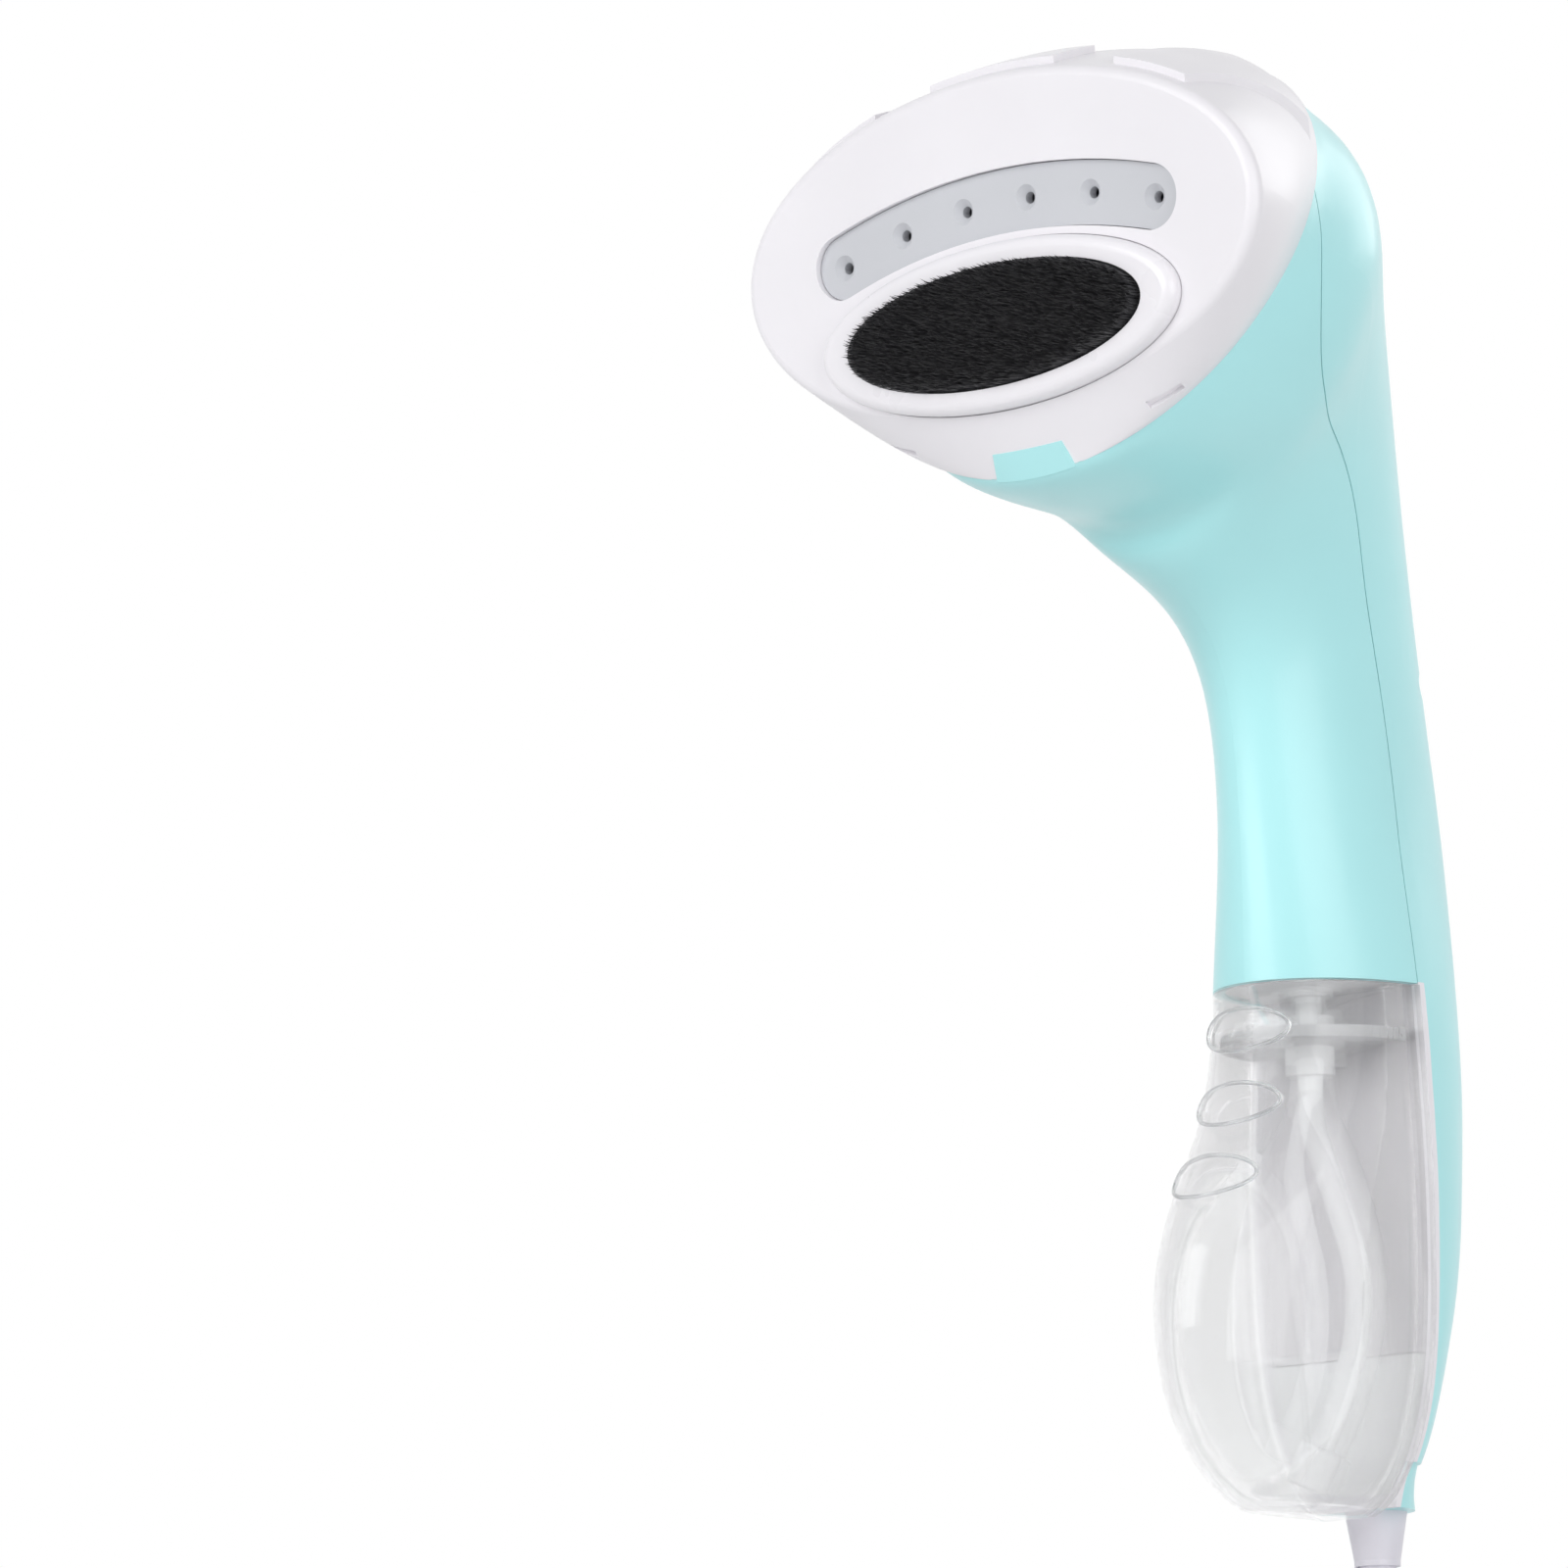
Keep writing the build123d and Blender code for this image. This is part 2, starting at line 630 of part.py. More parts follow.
def outlet_hose():
    """Silicone hose from the pump's top through the neck to the boiler's inlet."""
    nozzle_end = PUMP_TOP + 8.2
    inlet_end = BOILER_BACK - INLET_LENGTH - 0.2
    arrive = FACE.from_local_coords((INLET_AT[0], INLET_AT[1], inlet_end))
    before = FACE.from_local_coords((INLET_AT[0], INLET_AT[1], inlet_end - 9))
    route = [
        (0, PUMP_Y, nozzle_end),
        (0, PUMP_Y, nozzle_end + 10),
        (-3, PUMP_Y - 5, nozzle_end + 24),
        (-9, PUMP_Y - 14, nozzle_end + 40),
        tuple(before),
        tuple(arrive),
    ]
    return routed_tube(route, HOSE_RADIUS)


def power_button():
    """Domed push button with a flange that keeps it behind the rear shell's wall."""
    cap = Cylinder(BUTTON_RADIUS, 9.0)
    cap = fillet(cap.edges().group_by(Axis.Z)[-1], 1.4)
    cap = Pos(0, 0, BUTTON_PROUD - 4.5) * cap
    cap -= Pos(0, 0, BUTTON_PROUD + 23.4) * Sphere(24.0)
    flange = Pos(0, 0, BUTTON_PROUD - 8.4) * Cylinder(BUTTON_FLANGE, 1.2)
    return BUTTON * (cap + flange)


def control_board():
    """Board on the rear shell's posts, behind the button."""
    return BUTTON * Pos(0, 0, -BOARD_DEPTH) * Box(*BOARD_SIZE, BOARD_THICK)


def switch_body():
    """Switch under the button, soldered to the board."""
    low = -BOARD_DEPTH + BOARD_THICK / 2
    high = BUTTON_PROUD - 9.0 - BUTTON_TRAVEL - 0.3
    return BUTTON * Pos(0, 0, (low + high) / 2) * Box(SWITCH_SIZE, SWITCH_SIZE, high - low)


def indicator_lens():
    """Small lamp window above the button, its light pipe reaching to the board."""
    low = -BOARD_DEPTH + BOARD_THICK / 2
    pipe = on_plane(BUTTON, LENS_RADIUS - 0.5, 0, LENS_UP, low, -3)
    return on_plane(BUTTON, LENS_RADIUS, 0, LENS_UP, -3.5, 0.2) + pipe


def inner_lead():
    """Mains lead inside the spine, from the strain relief to the control board."""
    return upright(CORD_RADIUS - 0.3, 0, CORD_Y, FOOT_Z + 12.3, 35.0)


def strain_relief():
    """Tapered moulded sleeve with slots cut from alternate sides."""
    plug_radius = RELIEF_TOP_RADIUS - 1.2
    sleeve = upright(plug_radius, 0, CORD_Y, FOOT_Z, FOOT_Z + 12)
    taper_end = FOOT_Z - RELIEF_TAPER
    taper = Pos(0, CORD_Y, FOOT_Z - RELIEF_TAPER / 2) * Cone(RELIEF_NECK_RADIUS, RELIEF_TOP_RADIUS, RELIEF_TAPER)
    sleeve += taper + upright(RELIEF_NECK_RADIUS, 0, CORD_Y, RELIEF_END, taper_end)
    height = taper_end - 1.0
    side = 1
    while height - RELIEF_SLOT > RELIEF_END + 2:
        cut = Pos(side * RELIEF_SPINE, CORD_Y, height - RELIEF_SLOT / 2) * Box(10, 12, RELIEF_SLOT)
        keep = upright(CORD_RADIUS + 0.4, 0, CORD_Y, height - RELIEF_SLOT, height)
        sleeve -= cut - keep
        height -= RELIEF_PITCH
        side = -side
    return sleeve


def cord_lead():
    """Straight lead that hangs from the strain relief."""
    return upright(CORD_RADIUS, 0, CORD_Y, LEAD_END, RELIEF_END)


def hank_middle():
    """Height of the hank's middle, under the lead."""
    return LEAD_END - 2 * CORD_RADIUS - 2 * HANK_OUTER * math.sin(math.radians(JOIN_ANGLE))


def hank_point(turn):
    """A point on the wound cord: it spirals in and out, and climbs where the spiral reverses."""
    layer_turns = TURNS_PER_LAYER
    nearest = round(turn / layer_turns)
    phase = turn % (2 * layer_turns)
    inward = phase if phase <= layer_turns else 2 * layer_turns - phase
    radius = HANK_OUTER - HANK_STEP * inward
    layer = min(math.floor(turn / layer_turns), LAYER_COUNT - 1)
    if 0 < nearest < LAYER_COUNT and abs(turn - nearest * layer_turns) < 0.25:
        part = (turn - nearest * layer_turns + 0.25) / 0.5
        layer = nearest - 1 + part * part * (3 - 2 * part)
    if turn > LAYER_COUNT * layer_turns:
        radius = HANK_OUTER + HANK_STEP * (turn - LAYER_COUNT * layer_turns)
    angle = math.radians(JOIN_ANGLE - 360 * turn)
    x = radius * math.cos(angle)
    z = hank_middle() + radius * math.sin(angle)
    return Vector(x, CORD_Y + HANK_STEP * layer, z)


def hank_heading(turn):
    """Direction of the wound cord at a point."""
    step = 0.002
    return (hank_point(turn + step) - hank_point(turn - step)).normalized()


def biarc(start, heading, end, end_heading):
    """Two tangent arcs from one point and heading to another."""
    chord = end - start
    both = heading + end_heading
    spread = 2 * (1 - heading.dot(end_heading))
    reach = (math.sqrt(chord.dot(both) ** 2 + spread * chord.dot(chord)) - chord.dot(both)) / spread
    first = start + heading * reach
    last = end - end_heading * reach
    join = (first + last) * 0.5
    return [TangentArc(start, join, tangent=heading), TangentArc(join, end, tangent=last - first)]


def hank_path():
    """Middle line of the wound cord, from the lead's end to the plug."""
    top = Vector(0, CORD_Y, LEAD_END)
    bend = Vector(0, CORD_Y, LEAD_END - 2 * CORD_RADIUS)
    last_turn = LAYER_COUNT * TURNS_PER_LAYER + JOIN_ANGLE / 360
    quarter_turns = [index / 4 for index in range(4 * LAYER_COUNT * TURNS_PER_LAYER + 1)] + [last_turn]
    points = [hank_point(turn) for turn in quarter_turns]
    join = math.radians(JOIN_ANGLE)
    headings = [hank_heading(turn) for turn in quarter_turns]
    headings[0] = Vector(math.sin(join), 0, -math.cos(join))
    headings[-1] = Vector(0, 0, -1)
    edges = [Line(top, bend), TangentArc(bend, points[0], tangent=(0, 0, -1))]
    for index in range(len(points) - 1):
        edges += biarc(points[index], headings[index], points[index + 1], headings[index + 1])
    edges.append(Line(points[-1], points[-1] - Vector(0, 0, TAIL)))
    return Wire([edge for line in edges for edge in line.edges()])


def least_gap(path, radius):
    """Smallest room between stretches of a wound tube, measured on points a millimetre apart."""
    count = int(path.length)
    points = [tuple(path @ (index / count)) for index in range(count + 1)]
    apart = int(12 * radius)
    nearest = min(
        math.dist(points[first], points[second])
        for first in range(count + 1)
        for second in range(first + apart, count + 1)
    )
    return nearest - 2 * radius


def cord_coil():
    """The rest of the cord as one wound hank, ending in a straight tail."""
    path = hank_path()
    print(f"wound cord: length {path.length:.0f} mm, least gap {least_gap(path, CORD_RADIUS):.2f} mm")
    place = Plane(origin=path @ 0, z_dir=path % 0)
    return sweep(place * Circle(CORD_RADIUS), path=path)


def tail_end():
    """Where the cord's tail meets the plug."""
    last_turn = LAYER_COUNT * TURNS_PER_LAYER + JOIN_ANGLE / 360
    return hank_point(last_turn) - Vector(0, 0, TAIL)


def cord_tie():
    """Band round the hank's bundle, on the far side from the tail."""
    outer = HANK_OUTER + CORD_RADIUS
    inner = HANK_OUTER - HANK_STEP * TURNS_PER_LAYER - CORD_RADIUS
    across = outer - inner + 2 * TIE_GAP
    deep = HANK_STEP * (LAYER_COUNT - 1) + 2 * CORD_RADIUS + 2 * TIE_GAP
    hole = RectangleRounded(across, deep, 2.0)
    rim = RectangleRounded(across + 2 * TIE_THICK, deep + 2 * TIE_THICK, 2.0 + TIE_THICK)
    middle_y = CORD_Y + HANK_STEP * (LAYER_COUNT - 1) / 2
    low = hank_middle() - TIE_WIDTH / 2
    return Pos(-(outer + inner) / 2, middle_y, low) * extrude(rim - hole, TIE_WIDTH)


def plug_body():
    """Moulded plug, tapered to the cord, with a grip waist."""
    end = tail_end()
    steps = ((0.0, 0.55), (8.0, 0.7), (18.0, 0.92), (PLUG_LENGTH, 1.0))
    sections = []
    for down, share in steps:
        rounded = RectangleRounded(2 * PLUG_HALF[0] * share, 2 * PLUG_HALF[1] * share, 4.0 * share)
        sections.append(Pos(end.X, end.Y, end.Z - down) * rounded)
    return loft(sections)


def plug_blades():
    """Two flat blades on the plug's face."""
    end = tail_end()
    pieces = []
    for hand in (1, -1):
        at = Pos(end.X, end.Y + hand * BLADE_SPACING / 2, end.Z - PLUG_LENGTH - BLADE_SIZE[2] / 2)
        pieces.append(at * Rot(0, 0, 90) * Box(BLADE_SIZE[1], BLADE_SIZE[0], BLADE_SIZE[2]))
    return Compound(children=pieces)


def tank_outside(grow):
    """The tank's outside form, grown evenly from its flat back."""
    sections = []
    for height, half_width, depth in TANK:
        sections.append(half_oval(level_place(height, 1), half_width + grow, depth + grow, TANK_BACK))
    return loft(sections)


def tank_inside():
    """The tank's inside form: a wall smaller all round, its floor a wall higher."""
    sections = []
    squeeze = (TANK_FOOT + TANK_WALL - TANK_TURN) / (TANK_FOOT - TANK_TURN)
    for height, half_width, depth in TANK:
        inner_width = half_width - TANK_WALL
        if height < TANK_TURN:
            height = TANK_TURN + (height - TANK_TURN) * squeeze
            inner_width = half_width * (TANK_TURN_WIDTH - TANK_WALL) / TANK_TURN_WIDTH
        gap = TANK_BACK + TANK_WALL
        place = level_place(height, 1)
        sections.append(half_oval(place, inner_width, depth - 2 * TANK_WALL, gap))
    return loft(sections)


def tank_bowl():
    """Clear tank with a back flange and three embossed finger ovals."""
    outside = tank_outside(0.0)
    rim = Pos(0, -TANK_BACK - FLANGE_THICK / 2, -80) * Box(100, FLANGE_THICK, 120)
    bowl = outside + (tank_outside(FLANGE_RISE) & rim)
    grown = tank_outside(FINGER_RISE)
    for height in FINGER_Z:
        oval = Plane.XZ * Pos(0, height) * Ellipse(FINGER_SIZE[0] / 2, FINGER_SIZE[1] / 2)
        bowl += grown & (Pos(0, -10, 0) * extrude(oval, 60))
    return bowl - tank_inside()


def tank_lid():
    """Roof welded inside the tank's skirt, with holes for the valve and the filler plug."""
    lid = tank_inside() & slab(LID_TOP - LID_THICK, LID_TOP)
    lid -= upright(VALVE_RADIUS + 0.05, 0, SPIGOT_Y, LID_TOP - 5, LID_TOP + 5)
    lid -= upright(FILLER_STEM + RUN_GAP, 0, FILLER_Y, LID_TOP - 5, LID_TOP + 5)
    return lid


def tank_valve():
    """Socket that takes the dock's spigot, with a barb below for the pick-up hose."""
    valve = upright(VALVE_RADIUS, 0, SPIGOT_Y, VALVE_FLOOR - 1.5, VALVE_TOP)
    valve += upright(VALVE_RADIUS + 1, 0, SPIGOT_Y, LID_TOP, LID_TOP + 1)
    valve += upright(HOSE_RADIUS, 0, SPIGOT_Y, VALVE_BARB_END, VALVE_FLOOR)
    valve -= upright(VALVE_BORE, 0, SPIGOT_Y, VALVE_FLOOR, VALVE_TOP + 1)
    return valve - upright(HOSE_BORE, 0, SPIGOT_Y, VALVE_BARB_END - 1, VALVE_FLOOR + 1)


def pickup_hose():
    """Frosted hose from the valve down to the tank's floor."""
    return routed_tube(PICKUP_ROUTE, HOSE_RADIUS, HOSE_BORE)


def pickup_weight():
    """Weighted filter on the hose's end."""
    last = Vector(PICKUP_ROUTE[-1])
    heading = (last - Vector(PICKUP_ROUTE[-2])).normalized()
    place = Plane(origin=last, z_dir=heading)
    body = fillet(Cylinder(WEIGHT_RADIUS, WEIGHT_LENGTH).edges().filter_by(GeomType.CIRCLE), 0.8)
    return place * Pos(0, 0, WEIGHT_LENGTH / 2) * body


def filler_plug():
    """Rubber stopper with a pull tab."""
    plug = upright(FILLER_STEM, 0, FILLER_Y, LID_TOP - LID_THICK - 0.5, LID_TOP + 0.5)
    plug += upright(FILLER_FLANGE, 0, FILLER_Y, LID_TOP + 0.1, LID_TOP + 1.1)
    tab = Pos(0, FILLER_Y, LID_TOP + 1.8) * Box(5.0, 2.0, 1.8)
    return plug + tab


# Forms that several pieces are cut from
OUTSIDE = body_form(0.0)
INSIDE = body_form(WALL)
BOSS_ROOM = body_form(WALL - 0.4)
SEAT_ROOM = body_form(WALL + FIT)

NODES = (
    head_cover,
    steam_plate,
    steam_gasket,
    pad_frame,
    bristle_pad,
    boiler_cover,
    boiler_block,
    heater_terminals,
    thermostat,
    thermal_fuse,
    boiler_screws,
    front_shell,
    rear_shell,
    shell_screws,
    dock_floor,
    dock_seal,
    bay_panel,
    pump_body,
    pump_coil,
    pump_bushes,
    inlet_hose,
    outlet_hose,
    power_button,
    switch_body,
    control_board,
    indicator_lens,
    inner_lead,
    strain_relief,
    cord_lead,
    cord_coil,
    cord_tie,
    plug_body,
    plug_blades,
    tank_bowl,
    tank_lid,
    tank_valve,
    pickup_hose,
    pickup_weight,
    filler_plug,
)

os.makedirs("parts", exist_ok=True)
for make in NODES:
    export_step(make(), f"parts/{make.__name__}.step")
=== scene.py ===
"""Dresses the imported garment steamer: a finish for every node, the pieces drawn here and the stage."""

import math

import bpy
import numpy as np
from mathutils import Matrix, Vector


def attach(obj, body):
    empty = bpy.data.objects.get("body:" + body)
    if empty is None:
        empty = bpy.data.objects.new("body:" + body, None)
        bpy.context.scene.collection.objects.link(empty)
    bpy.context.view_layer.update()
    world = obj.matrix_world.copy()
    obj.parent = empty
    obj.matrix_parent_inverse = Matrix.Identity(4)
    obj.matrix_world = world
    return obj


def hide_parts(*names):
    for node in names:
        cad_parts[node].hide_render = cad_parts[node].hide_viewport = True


bl_info = {
    "name": "Garment Steamer Dressing",
    "version": (1, 0, 0),
    "blender": (4, 5, 0),
    "location": "View3D > Sidebar > Steamer",
    "description": "Finishes, lint pad pile, cord and stage for a handheld garment steamer",
    "category": "Object",
}

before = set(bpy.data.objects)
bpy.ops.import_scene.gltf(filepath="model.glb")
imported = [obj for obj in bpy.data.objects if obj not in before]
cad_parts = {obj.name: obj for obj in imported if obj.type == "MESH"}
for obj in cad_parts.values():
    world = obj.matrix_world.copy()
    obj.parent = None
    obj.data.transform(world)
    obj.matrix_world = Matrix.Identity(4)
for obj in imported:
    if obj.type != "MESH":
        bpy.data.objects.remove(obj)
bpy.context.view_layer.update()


class HousingLook(bpy.types.PropertyGroup):
    """Colours of the moulded housing and head, and sizes of the rim's tongue and the spine's lip."""

    aqua: bpy.props.FloatVectorProperty(
        name="Aqua", description="Housing plastic", subtype="COLOR", size=3, default=(0.465, 0.865, 0.88)
    )
    white: bpy.props.FloatVectorProperty(
        name="White", description="Head cover plastic", subtype="COLOR", size=3, default=(0.885, 0.865, 0.895)
    )
    grey: bpy.props.FloatVectorProperty(
        name="Plate grey", description="Steam plate", subtype="COLOR", size=3, default=(0.60, 0.61, 0.64)
    )
    amber: bpy.props.FloatVectorProperty(
        name="Amber", description="Indicator lens", subtype="COLOR", size=3, default=(0.85, 0.30, 0.12)
    )
    steel: bpy.props.FloatVectorProperty(
        name="Steel", description="Plated screws", subtype="COLOR", size=3, default=(0.62, 0.62, 0.64)
    )
    grain: bpy.props.FloatProperty(
        name="Grain", description="Depth of the moulded grain", default=0.00002, unit="LENGTH"
    )
    tongue_width: bpy.props.FloatProperty(
        name="Tongue width", description="Shell's tongue, at the cover's rim", default=0.0186, unit="LENGTH"
    )
    tongue_length: bpy.props.FloatProperty(
        name="Tongue length", description="How far it runs up the cover", default=0.0039, unit="LENGTH"
    )
    tongue_thick: bpy.props.FloatProperty(
        name="Tongue", description="Thickness of the tongue", default=0.0006, unit="LENGTH"
    )
    lip: bpy.props.FloatProperty(
        name="Lip", description="Where the spine's white lip ends at its back", default=0.0020, unit="LENGTH"
    )
    lip_top: bpy.props.FloatProperty(
        name="Lip top", description="Top of the spine's white lip", default=-0.0297, unit="LENGTH"
    )


class TankLook(bpy.types.PropertyGroup):
    """Look of the clear water tank and of the bay behind it."""

    tint: bpy.props.FloatVectorProperty(
        name="Tint", description="Clear plastic's tint", subtype="COLOR", size=3, default=(0.93, 0.94, 0.945)
    )
    frost: bpy.props.FloatVectorProperty(
        name="Frost", description="Lid, hose and seals", subtype="COLOR", size=3, default=(0.93, 0.93, 0.94)
    )
    index: bpy.props.FloatProperty(name="Index", description="Refractive index", default=1.49)
    body: bpy.props.FloatProperty(name="Body", description="How much of the clear wall shows", default=0.46)
    # The edges' grey, darker and more opaque than the tank, is painted light: the dark and light lines that
    # reflection and refraction draw along each finger oval's step.
    edge: bpy.props.FloatVectorProperty(
        name="Edge", description="Finger ovals' edges", subtype="COLOR", size=3, default=(0.80, 0.81, 0.82)
    )
    ovals: bpy.props.FloatVectorProperty(
        name="Ovals",
        description="Heights of the finger ovals",
        size=3,
        default=(-0.039, -0.053, -0.067),
        unit="LENGTH",
    )
    oval_width: bpy.props.FloatProperty(
        name="Oval width", description="Half width of a finger oval", default=0.00965, unit="LENGTH"
    )
    oval_height: bpy.props.FloatProperty(
        name="Oval height", description="Half height of a finger oval", default=0.00395, unit="LENGTH"
    )
    oval_rise: bpy.props.FloatProperty(
        name="Oval rise", description="How far an oval stands out", default=0.0008, unit="LENGTH"
    )
    bead: bpy.props.FloatProperty(
        name="Bead", description="Radius of an oval's edge", default=0.0004, unit="LENGTH"
    )
    half_width: bpy.props.FloatProperty(
        name="Half width", description="Tank's half width at the ovals", default=0.0209, unit="LENGTH"
    )
    heights: bpy.props.FloatVectorProperty(
        name="Heights",
        description="Where the tank's depth is given",
        size=5,
        default=(-0.03, -0.047, -0.057, -0.067, -0.077),
        unit="LENGTH",
    )
    depths: bpy.props.FloatVectorProperty(
        name="Depths",
        description="Tank's depth there",
        size=5,
        default=(0.026, 0.0283, 0.0325, 0.039, 0.0446),
        unit="LENGTH",
    )
    foot_top: bpy.props.FloatProperty(
        name="Foot top", description="Top of the panel's lower field", default=-0.0982, unit="LENGTH"
    )
    foot_end: bpy.props.FloatProperty(
        name="Foot end", description="End of the panel's lower field", default=-0.1235, unit="LENGTH"
    )
    foot_width: bpy.props.FloatProperty(
        name="Foot width", description="The field's half width at its top", default=0.0178, unit="LENGTH"
    )
    foot_thick: bpy.props.FloatProperty(
        name="Foot", description="Thickness of the panel's lower field", default=0.00032, unit="LENGTH"
    )
    # The panel's lilac grey, darker than the bay's white, is painted shade: the shadow that falls in the
    # panel's recessed pocket behind the tank.
    panel: bpy.props.FloatVectorProperty(
        name="Panel", description="Behind the tank", subtype="COLOR", size=3, default=(0.78, 0.755, 0.78)
    )
    bay: bpy.props.FloatVectorProperty(
        name="Bay", description="Dock and panel's foot", subtype="COLOR", size=3, default=(0.94, 0.94, 0.945)
    )
    grain: bpy.props.FloatProperty(
        name="Grain", description="Depth of the bay's moulded grain", default=0.00002, unit="LENGTH"
    )


class PadSizes(bpy.types.PropertyGroup):
    """Sizes and colour of the lint pad's pile."""

    half_width: bpy.props.FloatProperty(
        name="Half width", description="Pad's half width", default=0.0353, unit="LENGTH"
    )
    half_height: bpy.props.FloatProperty(
        name="Half height", description="Pad's half height", default=0.0110, unit="LENGTH"
    )
    pile: bpy.props.FloatProperty(name="Pile", description="Strand length", default=0.0036, unit="LENGTH")
    strand: bpy.props.FloatProperty(
        name="Strand", description="Strand radius at its root", default=0.00016, unit="LENGTH"
    )
    pitch: bpy.props.FloatProperty(
        name="Pitch", description="Distance between strands", default=0.00044, unit="LENGTH"
    )
    black: bpy.props.FloatVectorProperty(
        name="Black", description="Pile colour", subtype="COLOR", size=3, default=(0.022, 0.022, 0.026)
    )


class InsideLook(bpy.types.PropertyGroup):
    """Colours of what is inside the housing."""

    cast: bpy.props.FloatVectorProperty(
        name="Cast metal", description="Boiler", subtype="COLOR", size=3, default=(0.68, 0.68, 0.70)
    )
    terminal: bpy.props.FloatVectorProperty(
        name="Terminal", description="Heater terminals", subtype="COLOR", size=3, default=(0.60, 0.60, 0.62)
    )
    copper: bpy.props.FloatVectorProperty(
        name="Copper", description="Pump winding", subtype="COLOR", size=3, default=(0.55, 0.28, 0.14)
    )
    silicone: bpy.props.FloatVectorProperty(
        name="Silicone", description="Gasket and hoses", subtype="COLOR", size=3, default=(0.80, 0.80, 0.82)
    )
    pump: bpy.props.FloatVectorProperty(
        name="Pump white", description="Pump body", subtype="COLOR", size=3, default=(0.75, 0.75, 0.74)
    )
    rubber: bpy.props.FloatVectorProperty(
        name="Rubber", description="Bushes and switch", subtype="COLOR", size=3, default=(0.03, 0.03, 0.03)
    )
    board: bpy.props.FloatVectorProperty(
        name="Board green", description="Control board", subtype="COLOR", size=3, default=(0.05, 0.20, 0.09)
    )


class CordSizes(bpy.types.PropertyGroup):
    """Sizes of the cord and its wound hank, and colours of the cord, its plug and its tie."""

    diameter: bpy.props.FloatProperty(name="Diameter", description="Cord", default=0.0062, unit="LENGTH")
    length: bpy.props.FloatProperty(name="Length", description="Whole cord", default=1.866, unit="LENGTH")
    outer: bpy.props.FloatProperty(
        name="Outer turn", description="Radius of the hank's outer turn", default=0.041, unit="LENGTH"
    )
    step: bpy.props.FloatProperty(
        name="Step", description="Distance between turns and layers", default=0.0068, unit="LENGTH"
    )
    sheath: bpy.props.FloatVectorProperty(
        name="Sheath", description="Cord sheath", subtype="COLOR", size=3, default=(0.78, 0.76, 0.82)
    )
    brass: bpy.props.FloatVectorProperty(
        name="Brass", description="Plug blades", subtype="COLOR", size=3, default=(0.72, 0.64, 0.42)
    )
    tie: bpy.props.FloatVectorProperty(
        name="Tie", description="Cord tie", subtype="COLOR", size=3, default=(0.03, 0.03, 0.03)
    )


class StageLook(bpy.types.PropertyGroup):
    """Camera, floor and light."""

    azimuth: bpy.props.FloatProperty(
        name="Azimuth", description="Camera round the object", default=math.radians(39.2), subtype="ANGLE"
    )
    elevation: bpy.props.FloatProperty(
        name="Elevation", description="Camera above level", default=math.radians(-9.4), subtype="ANGLE"
    )
    roll: bpy.props.FloatProperty(
        name="Roll", description="Object's lean in the picture", default=math.radians(1.8), subtype="ANGLE"
    )
    distance: bpy.props.FloatProperty(
        name="Distance", description="Camera to the grip", default=1.651, unit="LENGTH"
    )
    lens: bpy.props.FloatProperty(name="Lens", description="Focal length in mm", default=202.5)
    floor: bpy.props.FloatProperty(name="Floor", description="Floor height", default=-0.40, unit="LENGTH")
    pale: bpy.props.FloatVectorProperty(
        name="Pale", description="Floor colour", subtype="COLOR", size=3, default=(0.82, 0.82, 0.82)
    )
    sky: bpy.props.FloatProperty(name="Sky", description="Strength of the light from all round", default=0.40)
    key: bpy.props.FloatProperty(name="Key", description="Lamp in front", default=14.4, unit="POWER")
    fill: bpy.props.FloatProperty(name="Fill", description="Lamp at the side", default=9.4, unit="POWER")
    back: bpy.props.FloatProperty(name="Back", description="Lamp behind", default=5.0, unit="POWER")


# Face of the head: its lean, its origin, the way up it and the way out of it
LEAN = math.radians(6.5)
FACE_ORIGIN = np.array((0.0, -0.0906, 0.0983))
FACE_UP = np.array((0.0, -math.sin(LEAN), math.cos(LEAN)))
FACE_OUT = np.array((0.0, -math.cos(LEAN), -math.sin(LEAN)))
# Pad on the face: its middle up the face and its base out of it
PAD_UP = -0.0142
PAD_BASE = 0.0010
# Plane of the cover's rim: its lean, its centre, the way forward from it and the way down it
RIM_LEAN = math.radians(27.8)
RIM_ORIGIN = np.array((0.0, -0.0593, 0.0993))
RIM_FORWARD = np.array((0.0, -math.cos(RIM_LEAN), math.sin(RIM_LEAN)))
RIM_DOWN = np.array((0.0, -math.sin(RIM_LEAN), -math.cos(RIM_LEAN)))
# Where the tank's flat back lies along Y
TANK_BACK = -0.0003
# Camera's sensor in mm, the photograph's width in pixels, and the grip right of and above its middle
SENSOR_WIDTH = 36
PHOTO_WIDTH = 1600
GRIP_PIXEL = (557, -54)
# Range in which most of a noise lies
NOISE_LOW = 0.3
NOISE_HIGH = 0.7


def on_face(across, up, out):
    """Points of the face's frame in the row frame: origin + across X + up the face + out of it."""
    across = np.asarray(across)[..., None]
    up = np.asarray(up)[..., None]
    out = np.asarray(out)[..., None]
    return FACE_ORIGIN + across * np.array((1.0, 0.0, 0.0)) + up * FACE_UP + out * FACE_OUT


def new_piece(name, shape, material, body):
    """A mesh object at the origin from a shape's points and faces."""
    points, faces = shape
    mesh = bpy.data.meshes.new(name)
    mesh.from_pydata(points.tolist(), [], faces.tolist())
    mesh.update()
    piece = bpy.data.objects.new(name, mesh)
    bpy.context.scene.collection.objects.link(piece)
    mesh.materials.append(material)
    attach(piece, body)
    return piece


def ring_faces(rings, around):
    """Quads between neighbouring closed rings, each with so many points around."""
    ring = np.arange(rings - 1)[:, None] * around
    here = np.arange(around)[None]
    after = (here + 1) % around
    corners = (ring + here, ring + around + here, ring + around + after, ring + after)
    return np.stack(corners, axis=2).reshape(-1, 4)


